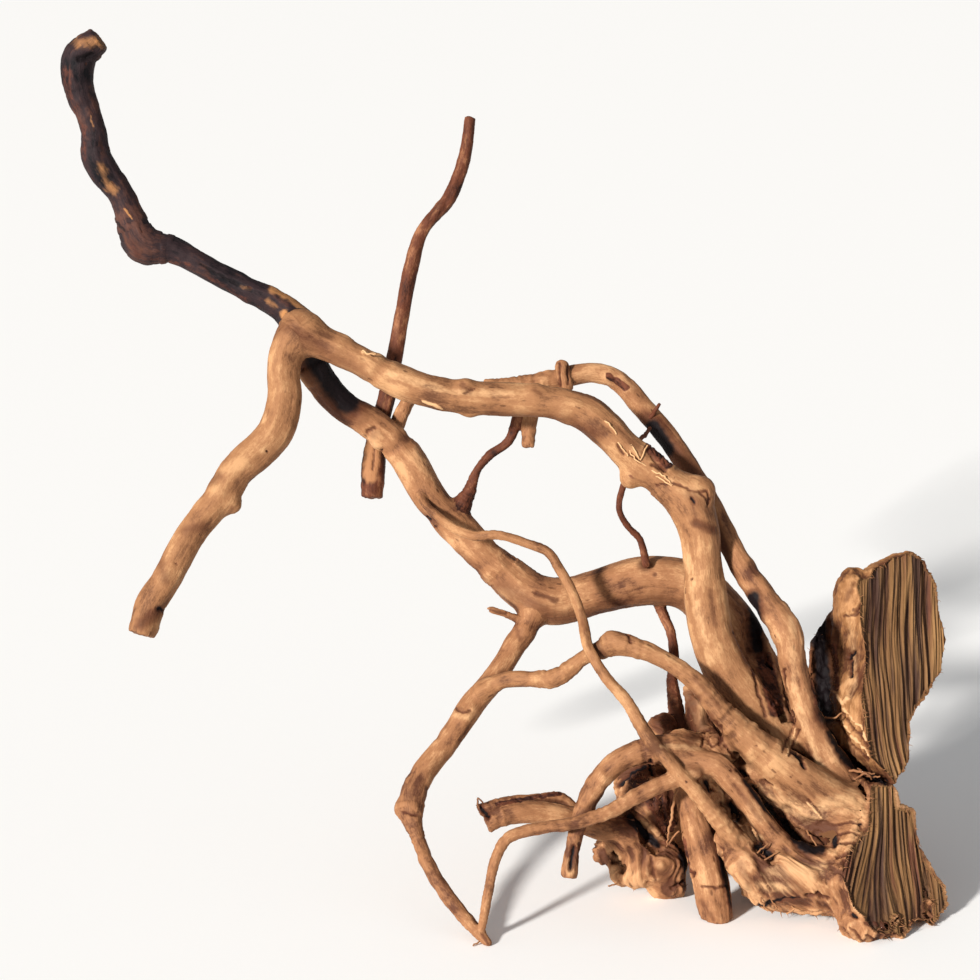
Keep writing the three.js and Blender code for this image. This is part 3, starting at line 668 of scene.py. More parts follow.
def part_distances(points, slack=14):
    """Distance from every point to each part near them, as a table by part number."""
    chosen, lumps = near(points, slack)
    found = {}
    if len(chosen):
        _, each = stretch_shares(points, chosen)
        owners, first = np.unique(stretches["part"][chosen], return_index=True)
        nearest = np.minimum.reduceat(each, first, axis=1)
        found = {owner: nearest[:, column] for column, owner in enumerate(owners)}
    for number in lumps:
        owner = lump_part[number]
        own = lump_distance(points, number)
        soft = LUMP_SOFT if owner in (BURL, SLAB) else 7
        found[owner] = smooth_min(found[owner], own, soft) if owner in found else own
    across, down, depth = sketched(points)
    if across.max() > 80 and down.max() > 52 and depth.min() < 110:
        above = (saw_depth(across, down) - depth) / SAW_SLOPE
        for owner, outline, back in ((BURL, LOWER_FACE, HEART_BACK), (SLAB, SLAB_FACE, SLAB_BACK)):
            block = sawn_block(points, outline, back)
            found[owner] = smooth_min(found.get(owner, FAR), block, 6)
            found[owner] = smooth_max(found[owner], above, 0.8)
    for name, route in CUT_ENDS:
        owner = NAMES.index(name)
        if owner in found:
            found[owner] = smooth_max(found[owner], beyond_end(points, route), 1)
    return found


def wood(points, slack=14):
    """Distance to the whole wood, negative inside it. The surface it stands on cuts it flat."""
    found = part_distances(points, slack)
    total = np.full(len(points), FAR)
    for number, name in enumerate(NAMES):
        if number in found:
            total = smooth_min(total, found[number], PARTS[name]["soft"])
    total = smooth_max(total, -hollow_distance(points), 1.5)
    return np.maximum(total, -points[:, 2])


# %% [markdown]
# ## From the field to one mesh
#
# Space is filled with a lattice of small cubes. Blocks of them that lie far from the
# surface are skipped. The volume library then draws a mesh where the distance is zero.

# %% Fill the volume
VOXEL = 1.0  # mm
BLOCK = 16  # voxels on each side
BAND = 3 * VOXEL  # distances are kept up to this


def block_corners():
    """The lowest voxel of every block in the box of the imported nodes, with a margin."""
    corners = np.array([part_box(node) for node in frame["nodes"]]) / MM
    low = np.floor((corners[:, 0].min(axis=0) - 8) / VOXEL / BLOCK).astype(int)
    high = np.ceil((corners[:, 1].max(axis=0) + 8) / VOXEL / BLOCK).astype(int)
    ranges = [np.arange(a, b) * BLOCK for a, b in zip(low, high)]
    return np.stack(np.meshgrid(*ranges, indexing="ij"), axis=-1).reshape(-1, 3)


steps = np.stack(np.meshgrid(*[np.arange(BLOCK)] * 3, indexing="ij"), axis=-1).reshape(-1, 3)
half_block = VOXEL * BLOCK * math.sqrt(3) / 2
corners = block_corners()
probes = [wood(some, slack=40) for some in np.array_split((corners + BLOCK / 2) * VOXEL, 40)]
probes = np.concatenate(probes)
grid = openvdb.FloatGrid(BAND)
filled = 0
for corner, probe in zip(corners, probes):
    if probe > half_block + 4:
        continue
    if probe < -half_block - 6:
        values = np.full((BLOCK, BLOCK, BLOCK), -BAND, np.float32)
    else:
        distance = wood((corner + steps) * VOXEL)
        values = np.clip(distance, -BAND, BAND).reshape(BLOCK, BLOCK, BLOCK).astype(np.float32)
        filled += 1
    grid.copyFromArray(values, ijk=tuple(int(c) for c in corner), tolerance=0.0)
print(filled, "of", len(corners), "blocks hold the surface")

# %% Draw the mesh
points, _, quads = grid.convertToPolygons(isovalue=0.0, adaptivity=0.0)
points = points.astype(float) * VOXEL
quads = quads.astype(np.int64)
print(len(points), "points,", len(quads), "quads")

# %% [markdown]
# ### A finer mesh on the sawn faces
#
# The torn ridges of the sawn faces are only two or three mm apart, too fine for this mesh.
# Just there each quad is split in four. The quads beside them get a fan of triangles, so
# that no gap opens. A triangle is kept as a quad whose last corner is there twice.


# %% Split the quads of the sawn faces
def split_in_four(positions, faces, chosen):
    """The mesh with the chosen quads split in four, and their neighbours fanned to match."""
    sides = np.stack([faces, np.roll(faces, -1, axis=1)], axis=-1)
    keys = sides.min(axis=2) * len(positions) + sides.max(axis=2)
    halved = np.unique(keys[chosen])
    ends = np.column_stack([halved // len(positions), halved % len(positions)])
    spot = np.minimum(np.searchsorted(halved, keys), len(halved) - 1)
    is_halved = halved[spot] == keys
    half = len(positions) + spot
    touched = is_halved.any(axis=1)
    centre = np.zeros(len(faces), int)
    centre[touched] = len(positions) + len(halved) + np.arange(touched.sum())
    made = [faces[~touched]]
    for k in range(4):
        corner, following = faces[:, k], faces[:, (k + 1) % 4]
        made.append(np.column_stack([half[:, k - 1], corner, half[:, k], centre])[chosen])
        two = is_halved[:, k] & touched & ~chosen
        made.append(np.column_stack([corner, half[:, k], centre, centre])[two])
        made.append(np.column_stack([half[:, k], following, centre, centre])[two])
        one = ~is_halved[:, k] & touched
        made.append(np.column_stack([corner, following, centre, centre])[one])
    middles = [positions[ends].mean(axis=1), positions[faces[touched]].mean(axis=1)]
    return np.vstack([positions, *middles]), np.concatenate(made)


def above_saw(positions):
    """How far points stand above the saw's plane, in mm."""
    across, down, depth = sketched(positions)
    return (saw_depth(across, down) - depth) / SAW_SLOPE


on_plane = (np.abs(above_saw(points)) < 0.3) & (sketched(points)[0] > 83.5)
points, quads = split_in_four(points, quads, on_plane[quads].all(axis=1))
print("with the sawn faces split:", len(points), "points,", len(quads), "quads")

# %% [markdown]
# ## Whose wood is it
#
# Every point of the mesh belongs to the part that it is nearest to, and close to a joint
# the second nearest part has a say too. Its share falls from a half at the border to
# nothing a few mm away, so relief and colour pass over from one part to the next.

# %% Nearest and second nearest part
BORDER = 7.0  # mm on each side of a border over which two parts mix
CLOUD = 24.0  # mm, side of the clouds in which the points are looked at


def clouds(positions):
    """Index arrays that split the points into small clouds of neighbours."""
    cells = np.floor(positions / CLOUD).astype(int)
    _, cell = np.unique(cells, axis=0, return_inverse=True)
    order = np.argsort(cell.ravel(), kind="stable")
    return np.split(order, np.nonzero(np.diff(cell.ravel()[order]))[0] + 1)


first = np.zeros(len(points), int)
second = np.zeros(len(points), int)
mix = np.zeros(len(points))
for cloud in clouds(points):
    table = np.full((len(cloud), len(NAMES)), FAR)
    for owner, distance in part_distances(points[cloud], slack=10).items():
        table[:, owner] = distance
    ranking = np.argsort(table, axis=1)[:, :2]
    nearest = np.take_along_axis(table, ranking, axis=1)
    first[cloud], second[cloud] = ranking.T
    closeness = np.clip(1 - (nearest[:, 1] - nearest[:, 0]) / BORDER, 0, 1)
    mix[cloud] = closeness**2 * (3 - 2 * closeness) / 2
print({name: int((first == number).sum()) for number, name in enumerate(NAMES)})

# %% [markdown]
# ## Following the grain
#
# Grain runs along a limb and bends with it. So each point gets straightened coordinates:
# how far it is along its route, and where it is in the two directions across. A pattern
# drawn in them is a pattern on a straight stick, and on the wood it follows every turn. The
# burl has no route: its grain runs from the limbs down to the saw cut, in wide swirls.

# %% Straightened coordinates
BURL_FLOW = np.array([[0.64, 0, 0.77], [0, 1, 0], [0.77, 0, -0.64]])  # last row: along


def swirled(positions, flow, swirl):
    """Coordinates across and along a flow direction, stirred by wide noise."""
    local = (positions - MIDDLE) @ AXES.T
    stir = np.column_stack([noise(local / 38, seed) for seed in (11, 12, 13)])
    return (local + swirl * stir) @ flow.T


def straightened(positions, part):
    """Coordinates across (two) and along the grain of a part, in mm, and its radius there."""
    if part == BURL:
        return swirled(positions, BURL_FLOW, 15), np.full(len(positions), 22.0)
    if part == SLAB:
        return swirled(positions, np.eye(3), 5), np.full(len(positions), 20.0)
    chosen = np.nonzero(stretches["part"] == part)[0]
    straight = np.zeros((len(positions), 3))
    radius = np.zeros(len(positions))
    for some in np.array_split(np.arange(len(positions)), max(1, len(positions) // 8000)):
        if not len(some):
            continue
        share, distance = stretch_shares(positions[some], chosen)
        best = distance.argmin(axis=1)
        share = share[np.arange(len(some)), best]
        row = chosen[best]
        way = stretches["way"][row]
        middle = stretches["start"][row] + share[:, None] * way
        side = stretches["side"][row] + share[:, None] * stretches["side_turn"][row]
        other = np.cross(way, side) / stretch_length[row][:, None]
        offset = positions[some] - middle
        along = stretches["along"][row] + share * stretch_length[row] + 37.0 * part
        straight[some] = np.column_stack([(offset * side).sum(1), (offset * other).sum(1), along])
        radius[some] = stretches["radius"][row] + share * stretches["widening"][row]
    return straight, radius


# %% [markdown]
# ## Relief
#
# The field is smooth; real root wood isn't. Four kinds of relief are added, each from
# noise in straightened coordinates: wide swells, flutes that run along the grain, fine
# fibres and small lumps. How strong each one is differs: scraped limbs are almost smooth,
# the burl is not.

# %% Relief from the grain
ROUGHNESS = {
    "root_burl": (2.2, 1.8, 0.5, 0.75),
    "stump_slab": (1.2, 1.2, 0.4, 0.6),
    "hooked_branch": (0.6, 0.45, 0.2, 0.2),
    "side_stick": (0.5, 0.45, 0.25, 0.15),
    "lower_limb": (1.0, 0.5, 0.15, 0.2),
    "cut_root": (0.7, 0.9, 0.3, 0.2),
}
PLAIN_ROUGHNESS = (0.9, 0.5, 0.15, 0.15)  # swells, flutes, fibres and lumps, in mm


def grain_relief(straight, radius, part):
    """How far the surface stands out, in mm, from the noise of the grain."""
    swell, flute, fibre, lump = ROUGHNESS.get(NAMES[part], PLAIN_ROUGHNESS)
    size = np.clip(radius, 2, 12)[:, None] / 10
    swells = noise(straight / (size * [13, 13, 26]), 21)
    flutes = crests(noise(straight / (size * [6.5, 6.5, 60]), 22)) - 0.7
    fibres = noise(straight / [1.7, 1.7, 16], 23) + 0.5 * noise(straight / [4, 4, 9], 24)
    lumps = noise(straight / [5.2, 5.2, 6.5], 26) + 0.5 * noise(straight / 2.6, 27)
    return size[:, 0] * (swell * swells + flute * flutes) + fibre * fibres + lump * lumps


relief = np.zeros(len(points))
grain = np.zeros((len(points), 3))
for part in range(len(NAMES)):
    own = np.nonzero(first == part)[0]
    straight, radius = straightened(points[own], part)
    grain[own] = straight
    relief[own] += (1 - mix[own]) * grain_relief(straight, radius, part)
    guest = np.nonzero((second == part) & (mix > 0.01))[0]
    straight, radius = straightened(points[guest], part)
    relief[guest] += mix[guest] * grain_relief(straight, radius, part)
print("relief from", relief.min().round(2), "to", relief.max().round(2), "mm")


# %% Normals of the mesh
FACETS = np.concatenate([quads[:, [0, 1, 2]], quads[:, [0, 2, 3]]])


def point_normals(positions):
    """The outward normal at each point, from the facets round it weighted by their area."""
    a, b, c = (positions[FACETS[:, corner]] for corner in range(3))
    facing = np.cross(b - a, c - a)
    total = np.zeros_like(positions)
    for corner, axis in itertools.product(range(3), range(3)):
        total[:, axis] += np.bincount(FACETS[:, corner], facing[:, axis], len(positions))
    return total / np.maximum(np.linalg.norm(total, axis=1), 1e-9)[:, None]


def volume(positions):
    """Volume inside the mesh; negative if its faces point inwards."""
    a, b, c = (positions[FACETS[:, corner]] for corner in range(3))
    return (a * np.cross(b, c)).sum() / 6


if volume(points) < 0:
    quads = quads[:, ::-1].copy()
    FACETS = FACETS[:, ::-1].copy()
normals = point_normals(points)
print("volume", round(volume(points) / 1000), "cubic cm")

# %% [markdown]
# ## Sawn faces and crevices
#
# On the sawn faces the relief is that of the torn ridges, and the pattern coordinates
# follow them. Crevices are found with the field: a few mm straight out from the surface
# there should be open air, and where there is wood instead the colour is later darkened,
# partly for dust and dark remains of bark, partly as painted shade.

# %% Sawn faces
SAW_NORMAL = np.array([SAW["per_across"] / SQUARE, -1, SAW["per_up"] / SQUARE]) / SAW_SLOPE @ AXES
facing_saw = np.clip((normals @ SAW_NORMAL - 0.6) / 0.3, 0, 1)
across, down, depth = sketched(points)
sawn = facing_saw * (np.abs(above_saw(points)) < 1.5) * (across > 83.5)
sawn_points = np.nonzero(sawn > 0)[0]
share = sawn[sawn_points]
lines = saw_lines(across[sawn_points], down[sawn_points]) * SQUARE
depths = saw_depths(across[sawn_points], down[sawn_points])
relief[sawn_points] = (1 - share) * relief[sawn_points] - share * depths
torn_grain = np.column_stack([lines, np.zeros(len(lines)), down[sawn_points] * SQUARE])
on_face = share > 0.5
grain[sawn_points[on_face]] = torn_grain[on_face]
print(len(sawn_points), "points on the sawn faces")

# %% Crevices
PROBE = 7.0  # mm
crevice = np.zeros(len(points))
for cloud in clouds(points):
    open_air = wood(points[cloud] + normals[cloud] * PROBE)
    crevice[cloud] = np.clip(1 - open_air / PROBE, 0, 1)
print("in crevices:", round(100 * (crevice > 0.5).mean(), 1), "% of the points")

# %% [markdown]
# ## Marks made one by one
#
# Noise gives no knot or crack in a chosen place. Those are drawn on the squared sketch as
# short strokes, each for one part of the wood and only for the side that faces the eye. A
# stroke has a half width in squares and a height in mm, which is below zero where it sinks.
# It also dyes the wood: dark in cracks, pale on torn edges, red-brown where bark was left.
# Some dark strokes are painted shade, near black in hollows, gaps and cast shadows, and some
# wide pale ones are painted light on faces turned to the sun.

# %% Strokes on the limbs: kind, half width, height in mm, places
LIMB_STROKES = {
    "main_limb": [
        ("worn", 0.35, 0.5, [(60.6, 42.2), (61.4, 43)]),
        ("crack", 0.24, -1, [(61.7, 44.4), (62.3, 45.4)]),
        ("worn", 0.35, 0.6, [(63, 44.6), (63.8, 45.7), (64.2, 44.8)]),
        ("crack", 0.24, -1, [(63, 45.4), (64, 46.3)]),
        ("stain", 1.1, 0, [(62, 43), (64.6, 45.6)]),
        ("crack", 0.22, -1, [(64.6, 45), (65.6, 46.4), (66.4, 47)]),
        ("bark", 0.9, 0.9, [(64.8, 44.8), (65.8, 45.6), (66.8, 46.6)]),
        ("crack", 0.29, -1.2, [(65.2, 46.5), (66.4, 47.1)]),
        ("worn", 0.4, 0.5, [(65.4, 47.2), (66.6, 47.6), (67.3, 48.2)]),
        ("crack", 0.2, -0.8, [(65.6, 48.5), (67.4, 48.4), (68.8, 48.8)]),
        ("hole", 0.24, -1, [(69.2, 49.8), (69.4, 50.3)]),
        ("rust", 0.8, 0, [(69.2, 50.4), (69.6, 51.6)]),
        ("crack", 0.24, -1.2, [(70.1, 49.1), (70.7, 49.2), (71, 50), (70.7, 50.6)]),
        ("crack", 0.24, -1, [(68.8, 49), (70, 49.2), (70.8, 50.2)]),
        ("soot", 0.9, -0.2, [(69.6, 52.3), (71.2, 53)]), ("stain", 1.2, 0.3, [(69, 49.4), (70.6, 51)]),
        ("hole", 0.2, -0.9, [(69.2, 57.9)]), ("hole", 0.2, -0.8, [(73.4, 63.2)]),
        ("torn", 0.2, 0.6, [(36.2, 35.2), (37.4, 35.4)]),
        ("torn", 0.3, 0.8, [(42.2, 40.1), (44.2, 40.9)]),
        ("stain", 0.7, -0.4, [(46.2, 38.4), (47, 39.2)]),
        ("crack", 0.2, -0.8, [(46.4, 39.3), (47.4, 38.9)]),
        ("stain", 0.6, -0.3, [(53.4, 39), (54, 39.4)]),
        ("stain", 0.9, 0, [(57, 38.6), (61, 40.6), (64, 43)]),
        ("stain", 0.5, 0, [(71, 59), (71.6, 62.6)]),
        ("rust", 0.5, 0, [(63, 47.6), (64.2, 48.2)]),
        ("stain", 1.8, 0, [(29, 33), (32.6, 35.2), (36, 37.6)]),
        ("stain", 1.4, 0, [(49, 41.4), (56, 41.8), (60, 43.4)]),
        ("worn", 1.2, 0, [(39, 37.4), (45, 39.2), (51, 39.4)]),
        ("worn", 1.3, 0, [(66.8, 52), (68.8, 56), (70, 62), (71, 66)]),
    ],
    "root_burl": [
        ("bark", 1.9, 0.7, [(63.8, 78.2), (66, 80.6), (67.2, 83.6)]),
        # Painted shade, near black, in the gap left of the cut root.
        ("hole", 1, 0, [(67.6, 83.6), (68.4, 86), (69, 89)]),
    ],
    "left_branch": [
        ("hole", 0.24, -1, [(26.7, 45.2)]), ("worn", 0.8, 0.4, [(26.2, 45)]),
        ("hole", 0.2, -0.9, [(25.2, 41.6)]),
        # The dark patch at the tip: partly its own dark colour, partly painted shade on the side away
        # from the sun.
        ("soot", 1.2, 0, [(14.2, 62.4), (15.4, 61.4)]),
        ("hole", 0.4, -1.6, [(15.9, 60.9), (16.5, 61.1)]),
        ("stain", 1, 0, [(20.6, 48.4), (22, 47.6)]), ("stain", 1.1, 0, [(18.6, 53), (20.4, 52.6)]),
        ("stain", 1, 0, [(15.8, 55.6), (16.6, 58)]), ("stain", 1.5, 0, [(26.8, 33.6), (29.4, 32.2)]),
        ("stain", 0.8, 0, [(24.8, 36), (25, 39)]), ("worn", 1, 0, [(25.6, 38), (26.4, 42)]),
        ("hole", 0.2, -0.8, [(17.6, 56.4)]),
        ("stain", 0.5, -0.2, [(23.2, 50.8), (22.8, 51.6)]),
    ],
    "lower_limb": [
        # Painted shadow: the near-black patch and the wide stain after it stand for the shadow that the
        # main limb casts on the lower limb.
        ("hole", 3.3, 0, [(31.8, 36), (33.4, 38.4), (34.8, 40)]),
        ("stain", 2, 0, [(33, 39), (36, 41.6)]),
        ("worn", 0.9, 1.4, [(37.5, 43.7), (37.7, 44.5)]),
        ("crack", 0.26, -1.2, [(36.7, 43.2), (37.5, 42.7)]),
        ("hole", 0.24, -1, [(38.2, 45)]),
        ("stain", 1.1, 0, [(37.4, 43.4)]), ("hole", 0.25, -1.1, [(42.6, 51.8), (42.9, 52.1)]),
        ("hole", 0.2, -1, [(43.5, 52.7)]), ("soot", 0.5, 0, [(53.6, 59.4), (55.6, 60.1)]),
        ("soot", 0.4, 0, [(65.5, 57.5)]), ("stain", 1.6, 0, [(50, 58.6), (56, 62), (62, 61)]),
        ("stain", 1.2, 0, [(60, 60.6), (66, 59.8), (69, 61)]), ("stain", 1, 0, [(46, 55.4), (50, 60)]),
        ("soot", 1.2, 0, [(69.4, 60), (69.6, 64)]), ("hole", 0.2, -0.8, [(64.4, 60.6)]),
    ],
    "hooked_branch": [
        ("worn", 1.5, -0.4, [(10.1, 16.9), (10.9, 18.6), (11.4, 19)]),
        ("worn", 0.8, -0.3, [(26.8, 30), (27.5, 30.6)]),
        ("torn", 0.9, -0.3, [(28.4, 31.4), (29.3, 32.3)]),
        ("torn", 1.1, -0.2, [(27.4, 28.8), (28.9, 29.5), (31, 31)]),
        ("rust", 1.6, 0, [(6.6, 7), (6.8, 9.6), (8, 13)]),
        ("rust", 1.2, 0, [(12.6, 23), (14, 26), (17, 26.4)]),
        ("worn", 0.4, -0.2, [(24, 28.6), (25, 29)]), ("rust", 0.7, 0, [(21, 27.8), (25, 30.2)]),
        ("torn", 0.2, 0.4, [(12.4, 20.8), (13.2, 21.9)]), ("worn", 1.7, 0, [(7.8, 4.3), (10.6, 4.2)]),
        ("hole", 0.5, -1.6, [(8, 5.9), (9.3, 5.5)]), ("rust", 0.5, 0, [(7, 10), (8.4, 13), (8.6, 16)]),
        ("crack", 0.22, -0.5, [(10.6, 21), (12.4, 23)]), ("rust", 0.5, 0, [(15, 26), (19, 26.4)]),
        ("worn", 0.25, -0.2, [(9, 11.6), (9.3, 12.6)]), ("crack", 0.2, -0.8, [(20, 26.4), (24, 28.6)]),
    ],
    "side_stick": [
        ("worn", 0.3, -0.3, [(46.6, 13.4), (46.4, 15.4)]), ("worn", 0.3, -0.3, [(43.6, 21), (43, 22)]),
        ("worn", 0.25, -0.3, [(41.4, 26), (41.1, 27.8)]), ("worn", 0.3, -0.3, [(40.4, 32), (40, 34)]),
        ("worn", 0.35, -0.3, [(38.8, 38.6), (38.2, 41.4)]),
        ("crack", 0.2, -0.6, [(45.4, 18.6), (44, 21.4)]),
        ("torn", 1.5, -0.3, [(37.3, 44.2), (37, 47.6)]), ("crack", 0.2, -0.8, [(37.6, 44), (37.2, 47)]),
    ],
    "back_limb": [
        ("bark", 0.6, 0.2, [(60.8, 37.6), (62.6, 38.8)]),
        # The dark band on this line and the next: partly the limb's own dark colour, partly painted
        # shade, near black at its far edge.
        ("soot", 1.7, 0, [(64.6, 42), (66.8, 44.4), (69, 47), (70.6, 49.4)]),
        ("hole", 2.1, 0, [(65.3, 42.8), (66.6, 44.9)]),
        ("crack", 0.24, -1.2, [(55.9, 36.3), (56, 38.6)]),
        ("crack", 0.24, -1.2, [(56.9, 36.5), (56.8, 38.4)]),
        ("bark", 0.3, 0.3, [(80.7, 65.2), (81, 67.5), (81.6, 70.4)]),
        ("hole", 0.25, -1.2, [(79.4, 60.9)]),
        ("stain", 0.5, 0, [(75.4, 59.4), (76.8, 61)]),
        ("rust", 0.5, 0, [(76.4, 65.8), (77.4, 65)]),
    ],
    "arch_root": [
        ("crack", 0.24, -1.2, [(62.8, 63.3), (63.1, 64.2)]), ("hole", 0.2, -0.8, [(75.6, 74.6)]),
        ("hole", 0.2, -0.8, [(79.2, 77.6)]), ("stain", 0.5, 0, [(69.4, 67.8), (72, 70.8)]),
    ],
    "down_root": [
        ("crack", 0.22, -0.8, [(45.2, 70.5), (46.2, 71.3), (47, 71.1)]),
        ("worn", 0.8, 0.4, [(45.6, 71.5), (46.8, 71.8)]),
        ("crack", 0.24, -1, [(40.2, 81.2), (41.6, 81.6)]),
        ("stain", 0.45, 0.3, [(45.6, 70.8), (46.9, 71.3)]),
        ("soot", 0.3, 0, [(49, 61), (50.6, 61.4)]), ("stain", 0.5, 0, [(51.4, 62), (52, 64)]),
        ("soot", 0.3, 0, [(48, 93.2), (48.8, 94.4)]),
    ],
    "bent_root": [
        ("hole", 0.5, -2.2, [(57.4, 84.8), (57, 86.8)]), ("worn", 0.6, 0.5, [(56.3, 85.4), (56.1, 87)]),
        ("crack", 0.24, -1, [(58, 84.4), (57.9, 86.4)]), ("worn", 1, 0, [(57, 86), (57, 87.4)]),
    ],
    "broken_root": [
        ("hole", 0.5, -1.6, [(47.8, 80.6), (48.8, 81.6)]),
        ("bark", 0.4, 0.3, [(49.6, 80.4), (53, 79.8), (56, 79.4)]),
    ],
    "cut_root": [
        ("crack", 0.22, -1, [(70.2, 88.6), (71.6, 88.8), (72.8, 88.5)]),
        ("bark", 0.5, 0.2, [(68.3, 84), (69, 87.4)]),
        ("rust", 0.6, 0, [(71.4, 84), (72.2, 88)]), ("stain", 0.5, 0, [(70, 90), (71.4, 92)]),
    ],
    "forked_root": [
        ("stain", 0.5, 0, [(73.4, 78.4), (76, 82)]),
    ],
    "thin_root": [
        ("stain", 0.4, 0, [(58, 61), (59, 65)]), ("hole", 0.2, -0.6, [(68.6, 78.2)]),
    ],
}

